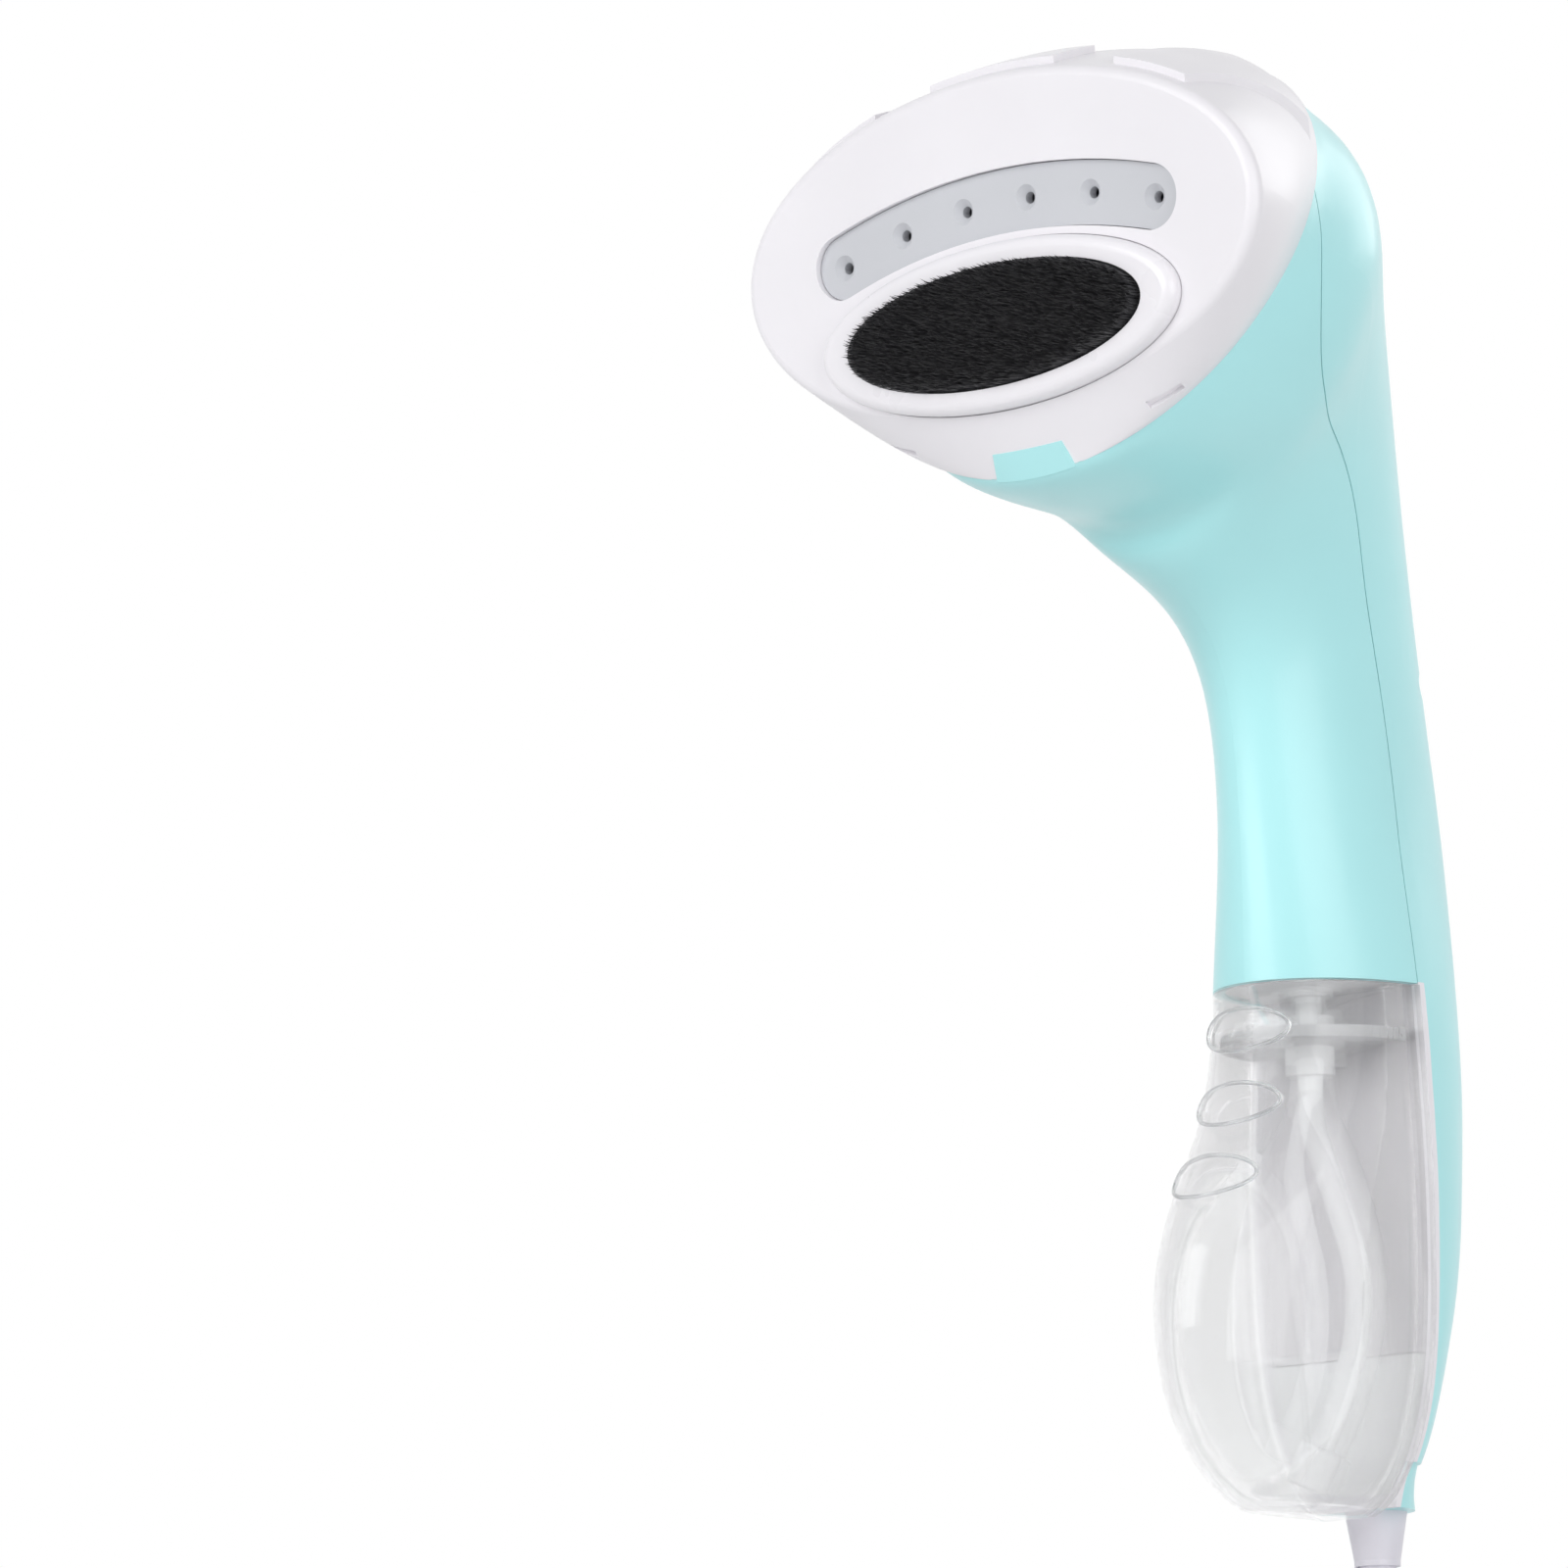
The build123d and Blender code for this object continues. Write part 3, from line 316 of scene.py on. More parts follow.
def plate(front, back):
    """A closed thin plate between two grids of points.

    Each row of the front and the same row of the back, reversed, make one ring, and the end rings are filled.
    The front's rows x columns face outwards.
    """
    rows, columns = front.shape[:2]
    around = 2 * columns
    points = np.concatenate((front, back[:, ::-1]), axis=1).reshape(-1, 3)
    near = np.arange(columns - 1)
    first = np.stack((near, near + 1, around - 2 - near, around - 1 - near), axis=1)
    last = first[:, ::-1] + (rows - 1) * around
    return points, np.concatenate((ring_faces(rows, around), first, last))


def start_material(name):
    """A material with an empty tree, its output and its shader."""
    material = bpy.data.materials.new(name)
    material.use_nodes = True
    tree = material.node_tree
    tree.nodes.clear()
    output = tree.nodes.new("ShaderNodeOutputMaterial")
    shader = tree.nodes.new("ShaderNodeBsdfPrincipled")
    tree.links.new(shader.outputs["BSDF"], output.inputs["Surface"])
    return material, tree, shader


def noise(tree, scale, detail=2.0):
    """Noise on Object coordinates, at so many spots a metre."""
    place = tree.nodes.new("ShaderNodeTexCoord")
    spots = tree.nodes.new("ShaderNodeTexNoise")
    spots.inputs["Scale"].default_value = scale
    spots.inputs["Detail"].default_value = detail
    tree.links.new(place.outputs["Object"], spots.inputs["Vector"])
    return spots.outputs["Fac"]


def vary(tree, value, low, high):
    """A noise value carried smoothly into a range."""
    ramp = tree.nodes.new("ShaderNodeMapRange")
    ramp.interpolation_type = "SMOOTHSTEP"
    ramp.inputs["From Min"].default_value = NOISE_LOW
    ramp.inputs["From Max"].default_value = NOISE_HIGH
    ramp.inputs["To Min"].default_value = low
    ramp.inputs["To Max"].default_value = high
    tree.links.new(value, ramp.inputs["Value"])
    return ramp.outputs["Result"]


def tone(tree, shader, colour, spread, scale):
    """Base colour that drifts a little from spot to spot."""
    mix = tree.nodes.new("ShaderNodeMix")
    mix.data_type = "RGBA"
    dark = [c * (1 - spread) for c in colour]
    light = [min(c * (1 + spread), 1.0) for c in colour]
    mix.inputs["A"].default_value = (*dark, 1.0)
    mix.inputs["B"].default_value = (*light, 1.0)
    tree.links.new(vary(tree, noise(tree, scale), 0.0, 1.0), mix.inputs["Factor"])
    tree.links.new(mix.outputs["Result"], shader.inputs["Base Color"])


def uneven(tree, shader, low, high, scale, detail=2.0):
    """Roughness that drifts between two values."""
    tree.links.new(vary(tree, noise(tree, scale, detail), low, high), shader.inputs["Roughness"])


def bump(tree, shader, depth, strength, scale, detail=2.0):
    """Fine relief from noise, with a depth in metres."""
    relief = tree.nodes.new("ShaderNodeBump")
    relief.inputs["Strength"].default_value = strength
    relief.inputs["Distance"].default_value = depth
    tree.links.new(noise(tree, scale, detail), relief.inputs["Height"])
    tree.links.new(relief.outputs["Normal"], shader.inputs["Normal"])


def any_ray(tree, *kinds):
    """One for a ray of any of these kinds, and nought for others."""
    path = tree.nodes.new("ShaderNodeLightPath")
    found = path.outputs[kinds[0]]
    for kind in kinds[1:]:
        either = tree.nodes.new("ShaderNodeMath")
        either.operation = "MAXIMUM"
        tree.links.new(found, either.inputs[0])
        tree.links.new(path.outputs[kind], either.inputs[1])
        found = either.outputs[0]
    return found


def moulded(name, colour, gloss, grain, coat=0.0, soft=0.0):
    """Moulded plastic: a faint colour drift, uneven gloss and a fine grain."""
    material, tree, shader = start_material(name)
    tone(tree, shader, colour, spread=0.025, scale=18.0)
    uneven(tree, shader, gloss - 0.04, gloss + 0.04, scale=55.0, detail=4.0)
    bump(tree, shader, grain, strength=0.5, scale=2600.0, detail=3.0)
    shader.inputs["IOR"].default_value = 1.5
    shader.inputs["Coat Weight"].default_value = coat
    shader.inputs["Coat Roughness"].default_value = 0.12
    shader.inputs["Subsurface Weight"].default_value = soft
    shader.inputs["Subsurface Radius"].default_value = (0.004, 0.004, 0.004)
    shader.inputs["Subsurface Scale"].default_value = 1.0
    return material


def patch(material, colour, sides):
    """Gives one region of a material its own colour.

    The region is every point whose product with each side's direction is under that side's limit.
    """
    tree = material.node_tree
    shader = tree.nodes["Principled BSDF"]
    place = tree.nodes.new("ShaderNodeTexCoord")
    mix = tree.nodes.new("ShaderNodeMix")
    mix.data_type = "RGBA"
    mix.inputs["B"].default_value = (*colour, 1.0)
    share = None
    for direction, limit in sides:
        along = tree.nodes.new("ShaderNodeVectorMath")
        along.operation = "DOT_PRODUCT"
        along.inputs[1].default_value = direction
        tree.links.new(place.outputs["Object"], along.inputs[0])
        under = tree.nodes.new("ShaderNodeMath")
        under.operation = "LESS_THAN"
        under.inputs[1].default_value = limit
        tree.links.new(along.outputs["Value"], under.inputs[0])
        if share is None:
            share = under.outputs[0]
            continue
        both = tree.nodes.new("ShaderNodeMath")
        both.operation = "MULTIPLY"
        tree.links.new(share, both.inputs[0])
        tree.links.new(under.outputs[0], both.inputs[1])
        share = both.outputs[0]
    tree.links.new(share, mix.inputs["Factor"])
    tree.links.new(shader.inputs["Base Color"].links[0].from_socket, mix.inputs["A"])
    tree.links.new(mix.outputs["Result"], shader.inputs["Base Color"])
    return material


def metal(name, colour, rough, scale):
    """Bare metal with a drawn or cast texture."""
    material, tree, shader = start_material(name)
    tone(tree, shader, colour, spread=0.08, scale=scale)
    uneven(tree, shader, rough - 0.08, rough + 0.1, scale=scale * 6, detail=5.0)
    bump(tree, shader, depth=0.00004, strength=0.4, scale=scale * 20, detail=4.0)
    shader.inputs["Metallic"].default_value = 1.0
    return material


def clear(name, tint, index, rough, body):
    """Clear thin-walled plastic with a moulding's slight waviness.

    Its alpha, the body, is under one, which lets more light in to what is behind it.
    """
    material, tree, shader = start_material(name)
    tone(tree, shader, tint, spread=0.01, scale=30.0)
    uneven(tree, shader, rough, rough + 0.01, scale=90.0)
    bump(tree, shader, depth=0.00003, strength=0.1, scale=120.0, detail=1.0)
    shader.inputs["Transmission Weight"].default_value = 1.0
    shader.inputs["IOR"].default_value = index
    shader.inputs["Alpha"].default_value = body
    return material


def frosted(name, colour, share):
    """Milky plastic or silicone that lets a share of the light through."""
    material, tree, shader = start_material(name)
    tone(tree, shader, colour, spread=0.02, scale=60.0)
    uneven(tree, shader, low=0.35, high=0.5, scale=200.0, detail=3.0)
    bump(tree, shader, depth=0.00003, strength=0.3, scale=1800.0)
    shader.inputs["Transmission Weight"].default_value = share
    shader.inputs["IOR"].default_value = 1.41
    return material


def paint(material, *names):
    """Puts one finish on CAD nodes."""
    for name in names:
        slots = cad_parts[name].data.materials
        slots.clear()
        slots.append(material)


class STEAMER_OT_housing(bpy.types.Operator):
    """Finishes the shells, the button, the lamp and the screws, and lays the tongue over the cover's rim"""

    bl_idname = "steamer.housing"
    bl_label = "Housing"

    def tongue(self, look):
        """The front shell's tongue over the bottom of the cover's rim, a thin curved plate.

        With d forward from the rim's plane and x across, it hangs drop - slope d - (curve - ease d) x^2 below
        the rim's middle. Its half width falls by taper d, and its foot is tucked in behind the rim's plane.
        """
        drop = 0.04725
        slope = 0.83
        curve = 9.5
        ease = 1300.0
        taper = 0.25
        tuck = 0.0003
        ahead = np.linspace(look.tongue_length, -tuck, 10)[:, None]
        across = np.linspace(-1, 1, 17)[None] * (look.tongue_width / 2 - taper * ahead)
        hang = drop - slope * ahead - (curve - ease * ahead) * across**2
        level = ahead[..., None] * RIM_FORWARD + across[..., None] * np.array((1, 0, 0))
        outer = RIM_ORIGIN + level + hang[..., None] * RIM_DOWN
        return plate(outer, outer - look.tongue_thick * RIM_DOWN)

    def execute(self, context):
        look = context.scene.steamer_housing
        aqua = moulded("aqua_plastic", look.aqua, gloss=0.34, grain=look.grain, coat=0.15, soft=0.05)
        paint(aqua, "front_shell")
        tongue = new_piece("rim_tongue", self.tongue(look), aqua, "housing")
        rear = moulded("aqua_lipped", look.aqua, gloss=0.34, grain=look.grain, coat=0.15, soft=0.05)
        lip = (((0, 1, 0), look.lip), ((0, 0, 1), look.lip_top))
        paint(patch(rear, look.white, lip), "rear_shell")
        paint(moulded("button_white", look.white, gloss=0.32, grain=look.grain, coat=0.2), "power_button")
        paint(moulded("lamp_amber", look.amber, gloss=0.15, grain=look.grain, coat=0.6), "indicator_lens")
        paint(metal("plated_steel", look.steel, rough=0.3, scale=300.0), "shell_screws", "boiler_screws")
        return {"FINISHED"}


class STEAMER_OT_head(bpy.types.Operator):
    """Finishes the head cover, its plate and the pad's frame"""

    bl_idname = "steamer.head"
    bl_label = "Head"

    def execute(self, context):
        look = context.scene.steamer_housing
        cover = moulded("head_white", look.white, gloss=0.36, grain=look.grain, coat=0.12, soft=0.08)
        paint(cover, "head_cover")
        pad_frame = moulded("frame_white", look.white, gloss=0.30, grain=look.grain, coat=0.3, soft=0.08)
        paint(pad_frame, "pad_frame")
        paint(moulded("plate_grey", look.grey, gloss=0.42, grain=look.grain * 2), "steam_plate")
        return {"FINISHED"}


class STEAMER_OT_pad(bpy.types.Operator):
    """Grows the lint pad's dense short pile on its backing"""

    bl_idname = "steamer.pad"
    bl_label = "Lint pad"

    def ring(self, across, up, turn, radius, out):
        """Three corners round each strand: its middle + radius * (cos, sin) at thirds of a turn."""
        return on_face(
            across[:, None] + radius * np.cos(turn), PAD_UP + up[:, None] + radius * np.sin(turn), out
        )

    def strands(self, sizes):
        """Roots on a jittered grid inside the oval, each a three-sided spike that leans a little.

        A spike has a ring at its root, a ring at its knee that has part of the lean, and a tip at
        root + lean + pile. The lean is a stray, a comb up the face and a splay that grows as reach^4.
        """
        jitter = 0.4
        margin = 0.975
        shortest = 0.86
        longest = 1.08
        stray = 0.00022
        comb = 0.00025
        splay = 0.0004
        root = PAD_BASE + 0.0008
        knee_height = 0.6
        knee_lean = 0.4
        knee_radius = 0.9 * sizes.strand
        rng = np.random.default_rng(11)
        columns = np.arange(-sizes.half_width, sizes.half_width, sizes.pitch)
        rows = np.arange(-sizes.half_height, sizes.half_height, sizes.pitch)
        across, up = (grid.ravel() for grid in np.meshgrid(columns, rows))
        across = across + rng.uniform(-jitter, jitter, across.size) * sizes.pitch
        up = up + rng.uniform(-jitter, jitter, up.size) * sizes.pitch
        reach = np.hypot(across / sizes.half_width, up / sizes.half_height)
        keep = reach < margin
        across, up, reach = across[keep], up[keep], reach[keep]
        tall = sizes.pile * rng.uniform(shortest, longest, across.size)
        lean_x = rng.normal(0.0, stray, across.size) + splay * reach**4 * across / sizes.half_width
        lean_up = rng.normal(comb, stray, across.size) + splay * reach**4 * up / sizes.half_height
        turn = rng.uniform(0, 2 * np.pi, across.size)[:, None] + np.arange(3) * 2 * np.pi / 3
        low = self.ring(across, up, turn, sizes.strand, root)
        middle = self.ring(
            across + knee_lean * lean_x,
            up + knee_lean * lean_up,
            turn,
            knee_radius,
            root + knee_height * tall[:, None],
        )
        tip = on_face(across + lean_x, PAD_UP + up + lean_up, root + tall)[:, None, :]
        points = np.concatenate((low, middle, tip), axis=1)
        start = np.arange(across.size)[:, None, None] * points.shape[1]
        side = np.array([(0, 1, 4), (0, 4, 3), (1, 2, 5), (1, 5, 4), (2, 0, 3), (2, 3, 5)])
        point = np.array([(3, 4, 6), (4, 5, 6), (5, 3, 6)])
        faces = start + np.concatenate((side, point))[None]
        return points.reshape(-1, 3), faces.reshape(-1, 3)

    def backing(self, sizes):
        """A low crowned oval under the pile, with a wall down to its base.

        Its rings are r * (a cos s, b sin s), at base + edge + crown * (1 - r^4) out of the face.
        """
        edge = 0.0004
        crown = 0.0006
        rings = 12
        around = 96
        reach = np.linspace(0.02, 1.0, rings)[:, None]
        turn = np.linspace(0, 2 * np.pi, around, endpoint=False)[None]
        across = reach * sizes.half_width * np.cos(turn)
        up = reach * sizes.half_height * np.sin(turn)
        top = on_face(across, PAD_UP + up, PAD_BASE + edge + crown * (1 - reach**4))
        foot = on_face(across[-1:], PAD_UP + up[-1:], PAD_BASE)
        return np.concatenate((top, foot)).reshape(-1, 3), ring_faces(rings + 1, around)

    def execute(self, context):
        sizes = context.scene.steamer_pad
        material, tree, shader = start_material("pad_pile")
        tone(tree, shader, sizes.black, spread=0.35, scale=900.0)
        uneven(tree, shader, low=0.55, high=0.8, scale=400.0)
        shader.inputs["Sheen Weight"].default_value = 0.25
        pile = new_piece("pad_pile", self.strands(sizes), material, "housing")
        backing = new_piece("pad_backing", self.backing(sizes), material, "housing")
        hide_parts("bristle_pad")
        return {"FINISHED"}


class STEAMER_OT_tank(bpy.types.Operator):
    """Finishes the clear tank and its bay, with the panel darker as painted shade, and adds the finger ovals'
    edge beads, whose grey paints their edge lines, and the panel's lower field
    """

    bl_idname = "steamer.tank"
    bl_label = "Water tank"

    def finger_edge(self, look, height):
        """A thin bead round one finger oval, on the tank's front, whose grey, nearly opaque clear is painted
        light: the dark and light lines that reflection and refraction draw along the oval's edge.

        Along it x = a cos s and z = height + b sin s, and y lies on the half oval whose depth changes with z.
        Around it the bead is a circle in the plane of the front's normal.
        """
        steps = 72
        sides = 10
        along = np.linspace(0, 2 * np.pi, steps, endpoint=False)
        x = look.oval_width * np.cos(along)
        z = height + look.oval_height * np.sin(along)
        deep = np.interp(-z, -np.array(look.heights), np.array(look.depths)) + look.oval_rise
        wide = look.half_width + look.oval_rise
        y = TANK_BACK - deep * np.sqrt(1 - (x / wide) ** 2)
        path = np.stack((x, y, z), axis=1)
        ahead = np.roll(path, -1, axis=0) - np.roll(path, 1, axis=0)
        ahead /= np.linalg.norm(ahead, axis=1)[:, None]
        out = np.stack((x / wide**2, y / deep**2, 0 * z), axis=1)
        out -= ahead * np.sum(out * ahead, axis=1)[:, None]
        out /= np.linalg.norm(out, axis=1)[:, None]
        aside = np.cross(ahead, out)
        turn = np.linspace(0, 2 * np.pi, sides, endpoint=False)[None, :, None]
        ring = path[:, None] + look.bead * (np.cos(turn) * out[:, None] + np.sin(turn) * aside[:, None])
        here = np.arange(steps)[:, None] * sides
        after = np.roll(here, -1, axis=0)
        spot = np.arange(sides)[None]
        beside = (spot + 1) % sides
        corners = (here + spot, here + beside, after + beside, after + spot)
        return ring.reshape(-1, 3), np.stack(corners, axis=2).reshape(-1, 4)

    def panel_foot(self, look):
        """The back panel's lower field, a thin flat plate a step behind the upper field.

        Its half width falls from its top to its end as top * (1 - taper * t^2).
        """
        taper = 0.5
        face = 0.0001
        share = np.linspace(0, 1, 14)[:, None]
        height = look.foot_top + (look.foot_end - look.foot_top) * share
        half = look.foot_width * (1 - taper * share**2)
        across = np.linspace(-1, 1, 9)[None]
        front = np.stack(np.broadcast_arrays(half * across, face, height), axis=2)
        return plate(front, front + np.array((0, look.foot_thick, 0)))

    def execute(self, context):
        look = context.scene.steamer_tank
        paint(clear("tank_clear", look.tint, look.index, rough=0.004, body=look.body), "tank_bowl")
        paint(frosted("lid_frosted", look.frost, share=0.5), "tank_lid")
        hose = frosted("hose_frosted", look.frost, share=0.05)
        paint(hose, "pickup_hose", "pickup_weight", "filler_plug", "dock_seal")
        # The panel is painted darker than the bay, as painted shade of its recessed pocket.
        paint(moulded("panel_lilac_painted_shade", look.panel, gloss=0.4, grain=look.grain), "bay_panel")
        bay = moulded("bay_white", look.bay, gloss=0.4, grain=look.grain)
        paint(bay, "dock_floor", "tank_valve")
        # Painted light: grey, nearly opaque beads draw the ovals' edge lines that reflection and refraction
        # make on the clear step.
        edge = clear("tank_edge_painted_lines", look.edge, look.index, rough=0.05, body=0.9)
        for number, height in enumerate(look.ovals):
            bead = new_piece(f"finger_edge_{number + 1}", self.finger_edge(look, height), edge, "tank")
        foot = new_piece("panel_foot", self.panel_foot(look), bay, "housing")
        return {"FINISHED"}


class STEAMER_OT_inside(bpy.types.Operator):
    """Finishes the boiler, the pump and the electric parts inside the housing"""

    bl_idname = "steamer.inside"
    bl_label = "Inside"

    def execute(self, context):
        look = context.scene.steamer_inside
        paint(metal("cast_metal", look.cast, rough=0.45, scale=200.0), "boiler_block", "boiler_cover")
        terminal = metal("terminal_steel", look.terminal, rough=0.3, scale=400.0)
        paint(terminal, "heater_terminals", "thermostat")
        paint(metal("winding_copper", look.copper, rough=0.35, scale=700.0), "pump_coil")
        silicone = frosted("gasket_silicone", look.silicone, share=0.2)
        paint(silicone, "steam_gasket", "inlet_hose", "outlet_hose")
        paint(moulded("pump_white", look.pump, gloss=0.4, grain=0.00002), "pump_body", "thermal_fuse")
        paint(moulded("rubber_black", look.rubber, gloss=0.6, grain=0.00004), "pump_bushes", "switch_body")
        paint(moulded("board_green", look.board, gloss=0.35, grain=0.00003), "control_board")
        return {"FINISHED"}


class STEAMER_OT_cord(bpy.types.Operator):
    """Lays the cord from the strain relief through its wound hank to the plug"""

    bl_idname = "steamer.cord"
    bl_label = "Cord"

    def route(self, sizes):
        """Control points: the lead straight down, one bend, then turns that spiral in and out in four layers.

        A turn's radius changes by one step, and the climb to the next layer is 3 p^2 - 2 p^3 of a step, over
        half a turn. The angle starts where the lead joins the hank and runs backwards.
        """
        depth = 0.0072
        lead_end = -0.186
        join = math.radians(60)
        layers = 4
        layer_turns = 2
        climb_turns = 0.5
        turn_points = 24
        middle = lead_end - sizes.diameter - 2 * sizes.outer * math.sin(join)
        lead = [(0, depth, -0.166), (0, depth, -0.176), (0, depth, -0.190), (0, depth, -0.206)]
        lead += [(0.0034, depth, -0.2165), (0.0105, depth, -0.2232)]
        turn = np.arange(0, layers * layer_turns + 1e-9, 1 / turn_points)
        phase = turn % (2 * layer_turns)
        inward = np.where(phase <= layer_turns, phase, 2 * layer_turns - phase)
        nearest = np.round(turn / layer_turns)
        part = np.clip((turn - layer_turns * nearest + climb_turns / 2) / climb_turns, 0, 1)
        climb = nearest - 1 + part**2 * (3 - 2 * part)
        inner = (nearest > 0) & (nearest < layers)
        layer = np.where(inner, climb, np.minimum(np.floor(turn / layer_turns), layers - 1))
        radius = (sizes.outer - sizes.step * inward) / math.cos(math.pi / turn_points)
        angle = join - 2 * np.pi * turn
        wound = np.stack(
            (radius * np.cos(angle), depth + sizes.step * layer, middle + radius * np.sin(angle)), axis=1
        )
        far = sizes.outer + sizes.step / 6
        last = depth + (layers - 1) * sizes.step
        swing = np.radians((45, 30))
        tail = [(far * math.cos(a), last, middle + far * math.sin(a)) for a in swing]
        tail += [(far * 0.981, last, middle + 0.0145), (far, last, middle + 0.002)]
        tail += [(far, last, middle - 0.014), (far, last, middle - 0.033)]
        return np.array(lead + wound.tolist() + tail)

    def execute(self, context):
        sizes = context.scene.steamer_cord
        points = self.route(sizes)
        curve = bpy.data.curves.new("mains_cord", "CURVE")
        curve.dimensions = "3D"
        spline = curve.splines.new("NURBS")
        spline.points.add(len(points) - 1)
        spline.points.foreach_set("co", np.column_stack((points, np.ones(len(points)))).ravel())
        spline.order_u = 3
        spline.use_endpoint_u = True
        curve.bevel_depth = sizes.diameter / 2
        curve.bevel_resolution = 4
        curve.resolution_u = 4
        curve.use_fill_caps = True
        sheath = moulded("cord_sheath", sizes.sheath, gloss=0.42, grain=0.00003, soft=0.05)
        curve.materials.append(sheath)
        cord = bpy.data.objects.new("mains_cord", curve)
        context.scene.collection.objects.link(cord)
        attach(cord, "housing")
        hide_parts("cord_lead", "cord_coil")
        paint(sheath, "strain_relief", "plug_body", "inner_lead")
        paint(metal("blade_brass", sizes.brass, rough=0.25, scale=300.0), "plug_blades")
        paint(moulded("tie_black", sizes.tie, gloss=0.6, grain=0.00005), "cord_tie")
        return {"FINISHED"}


class STEAMER_OT_stage(bpy.types.Operator):
    """Sets the floor, the soft light and the camera"""

    bl_idname = "steamer.stage"
    bl_label = "Stage"

    def floor(self, look):
        """A wide pale square at the floor's height, white in reflections and through clear plastic."""
        material, tree, shader = start_material("floor_pale")
        tone(tree, shader, look.pale, spread=0.01, scale=2.0)
        shader.inputs["Roughness"].default_value = 0.8
        glow = tree.nodes.new("ShaderNodeEmission")
        mix = tree.nodes.new("ShaderNodeMixShader")
        output = tree.nodes["Material Output"]
        tree.links.new(any_ray(tree, "Is Glossy Ray", "Is Transmission Ray"), mix.inputs["Fac"])
        tree.links.new(shader.outputs["BSDF"], mix.inputs[1])
        tree.links.new(glow.outputs["Emission"], mix.inputs[2])
        tree.links.new(mix.outputs["Shader"], output.inputs["Surface"])
        reach = 3.0
        points = [(-reach, -reach, look.floor), (reach, -reach, look.floor)]
        points += [(reach, reach, look.floor), (-reach, reach, look.floor)]
        mesh = bpy.data.meshes.new("floor")
        mesh.from_pydata(points, [], [(0, 1, 2, 3)])
        mesh.materials.append(material)
        floor = bpy.data.objects.new("floor", mesh)
        bpy.context.scene.collection.objects.link(floor)

    def world(self, look):
        """White to the camera, in reflections and through clear plastic, and a softer light on the object."""
        world = bpy.data.worlds.new("studio")
        bpy.context.scene.world = world
        world.use_nodes = True
        tree = world.node_tree
        tree.nodes.clear()
        output = tree.nodes.new("ShaderNodeOutputWorld")
        seen = tree.nodes.new("ShaderNodeBackground")
        seen.inputs["Color"].default_value = (1, 1, 1, 1)
        light = tree.nodes.new("ShaderNodeBackground")
        light.inputs["Color"].default_value = (0.96, 0.97, 1, 1)
        light.inputs["Strength"].default_value = look.sky
        mix = tree.nodes.new("ShaderNodeMixShader")
        white = any_ray(tree, "Is Camera Ray", "Is Transmission Ray", "Is Glossy Ray")
        tree.links.new(white, mix.inputs["Fac"])
        tree.links.new(light.outputs[0], mix.inputs[1])
        tree.links.new(seen.outputs[0], mix.inputs[2])
        tree.links.new(mix.outputs[0], output.inputs["Surface"])

    def lamp(self, name, place, target, size, power):
        """A square soft lamp that looks at a target."""
        lamp = bpy.data.lights.new(name, "AREA")
        lamp.shape = "SQUARE"
        lamp.size = size
        lamp.energy = power
        holder = bpy.data.objects.new(name, lamp)
        holder.location = place
        holder.rotation_euler = (Vector(target) - Vector(place)).to_track_quat("-Z", "Y").to_euler()
        bpy.context.scene.collection.objects.link(holder)

    def camera(self, look):
        """The photograph's camera, placed by azimuth and elevation round the grip, then rolled.

        It is turned last, so that the grip falls on its pixel of the photograph.
        """
        turn, rise, roll = look.azimuth, look.elevation, look.roll
        back = Vector((math.sin(turn) * math.cos(rise), -math.cos(turn) * math.cos(rise), math.sin(rise)))
        right = Vector((math.cos(turn), math.sin(turn), 0))
        up = back.cross(right)
        side = right * math.cos(roll) - up * math.sin(roll)
        top = right * math.sin(roll) + up * math.cos(roll)
        basis = Matrix((side, top, back)).transposed()
        pixels = look.lens / SENSOR_WIDTH * PHOTO_WIDTH
        grip = Vector((*GRIP_PIXEL, -pixels)).normalized()
        aim = Vector((0, 0, -1)).rotation_difference(grip).to_matrix()
        data = bpy.data.cameras.new("camera")
        data.lens = look.lens
        data.sensor_width = SENSOR_WIDTH
        data.clip_end = 20
        camera = bpy.data.objects.new("camera", data)
        camera.matrix_world = Matrix.Translation(back * look.distance) @ (basis @ aim.inverted()).to_4x4()
        bpy.context.scene.collection.objects.link(camera)
        bpy.context.scene.camera = camera

    def execute(self, context):
        look = context.scene.steamer_stage
        self.floor(look)
        self.world(look)
        self.lamp("key", place=(-0.27, -1.67, 0.60), target=(0, -0.03, 0), size=1.2, power=look.key)
        self.lamp("fill", place=(1.52, -0.48, 0.16), target=(0, -0.02, 0), size=1.2, power=look.fill)
        self.lamp("back", place=(0.2, 1.4, 0.9), target=(0, 0, 0), size=1.0, power=look.back)
        self.camera(look)
        context.scene.view_settings.view_transform = "Standard"
        return {"FINISHED"}


class STEAMER_PT_panel(bpy.types.Panel):
    """Lists the steamer's pieces."""

    bl_idname = "STEAMER_PT_panel"
    bl_label = "Garment steamer"
    bl_space_type = "VIEW_3D"
    bl_region_type = "UI"
    bl_category = "Steamer"

    def draw(self, context):
        for operator in OPERATORS:
            self.layout.operator(operator.bl_idname)


GROUPS = {
    "steamer_housing": HousingLook,
    "steamer_tank": TankLook,
    "steamer_pad": PadSizes,
    "steamer_inside": InsideLook,
    "steamer_cord": CordSizes,
    "steamer_stage": StageLook,
}
OPERATORS = (
    STEAMER_OT_housing,
    STEAMER_OT_head,
    STEAMER_OT_pad,
    STEAMER_OT_tank,
    STEAMER_OT_inside,
    STEAMER_OT_cord,
    STEAMER_OT_stage,
)


def register():
    """Registers the groups, the operators and the panel."""
    for name, group in GROUPS.items():
        bpy.utils.register_class(group)
        setattr(bpy.types.Scene, name, bpy.props.PointerProperty(type=group))
    for operator in OPERATORS:
        bpy.utils.register_class(operator)
    bpy.utils.register_class(STEAMER_PT_panel)


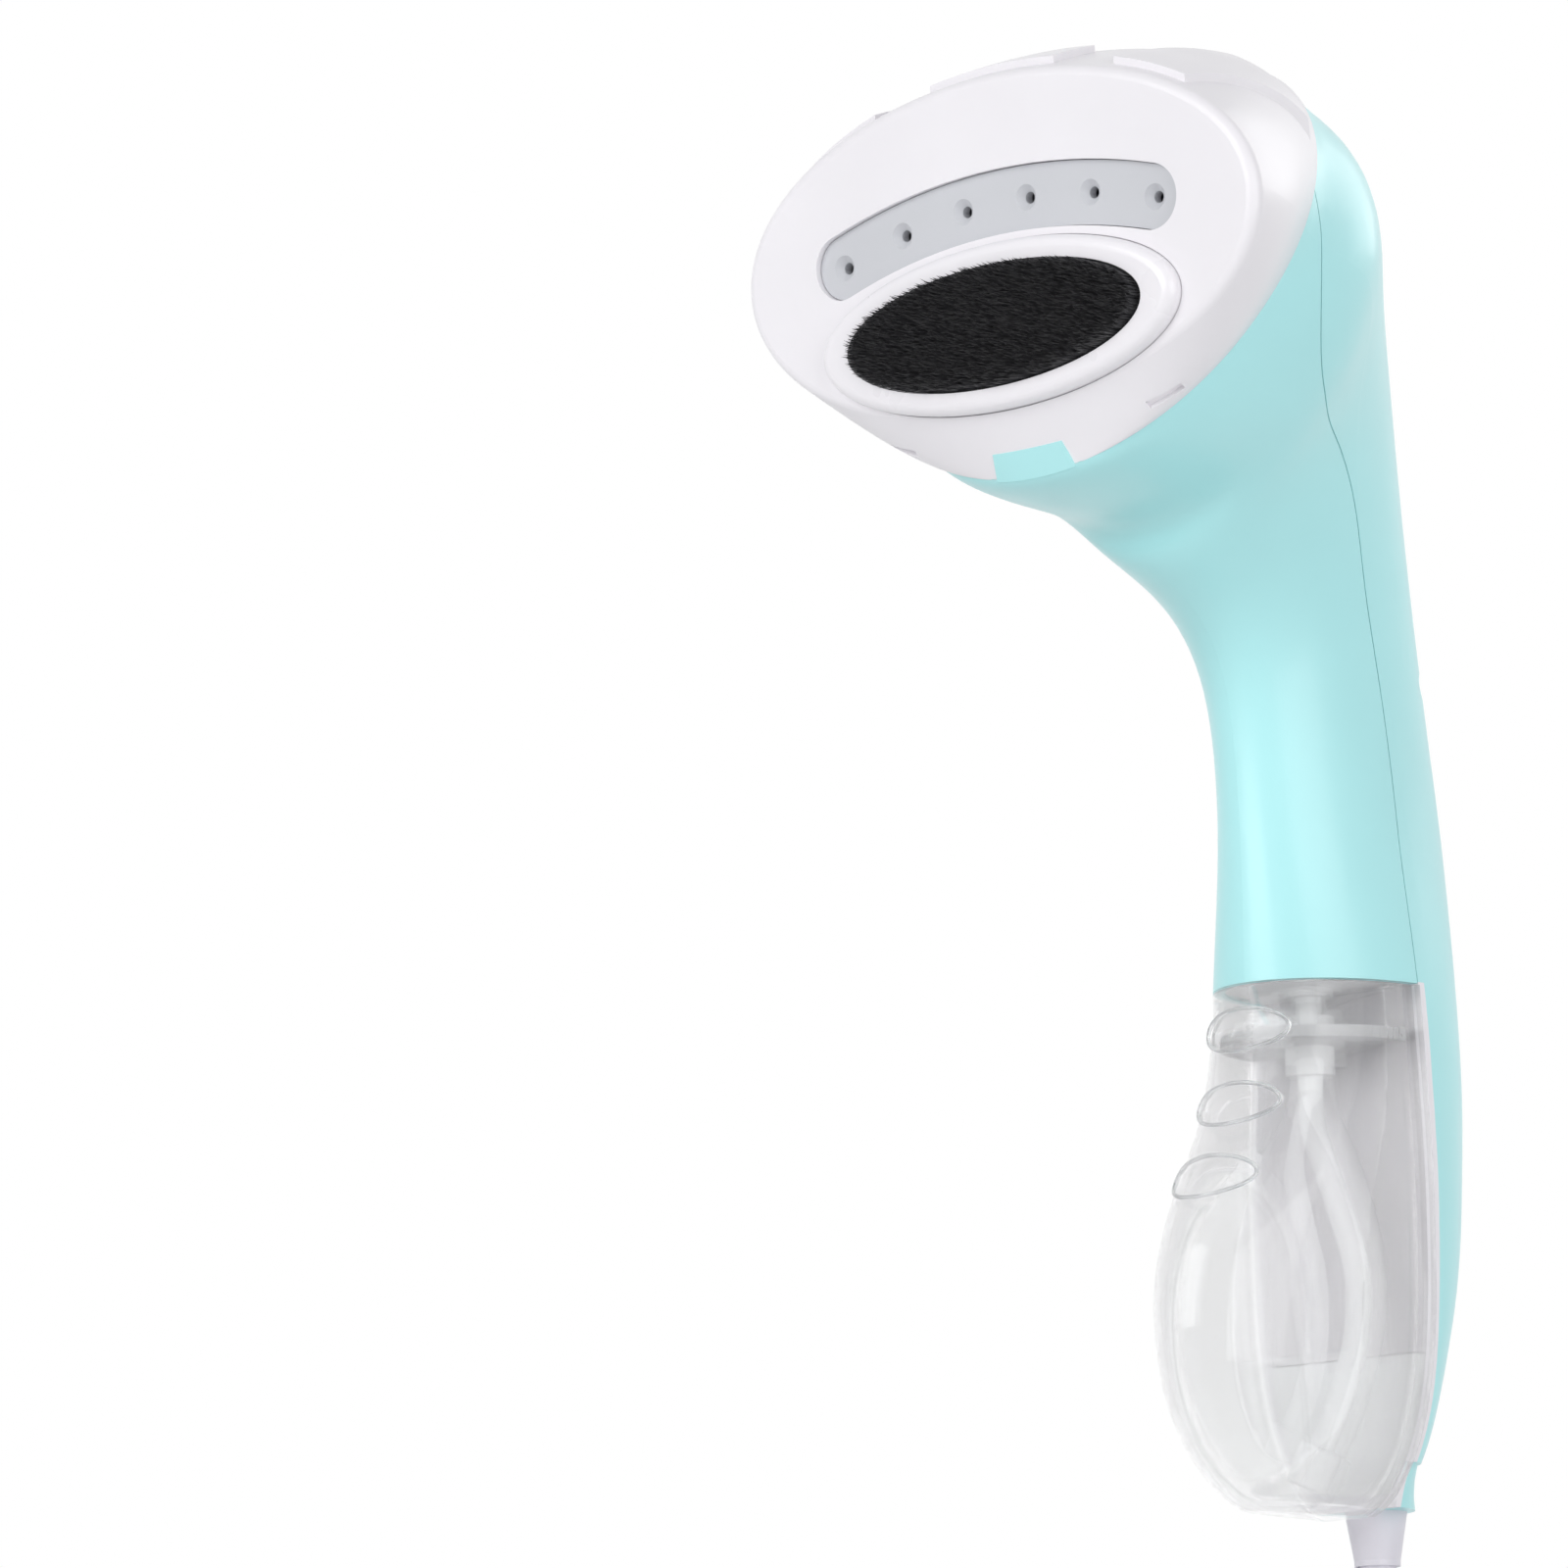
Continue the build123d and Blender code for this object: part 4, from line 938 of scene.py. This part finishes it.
def unregister():
    """Takes them out again."""
    bpy.utils.unregister_class(STEAMER_PT_panel)
    for operator in reversed(OPERATORS):
        bpy.utils.unregister_class(operator)
    for name, group in GROUPS.items():
        delattr(bpy.types.Scene, name)
        bpy.utils.unregister_class(group)


def main():
    """Dresses the whole part."""
    register()
    for operator in OPERATORS:
        group, name = operator.bl_idname.split(".")
        getattr(getattr(bpy.ops, group), name)()
    bpy.context.view_layer.update()


if __name__ == "__main__":
    main()
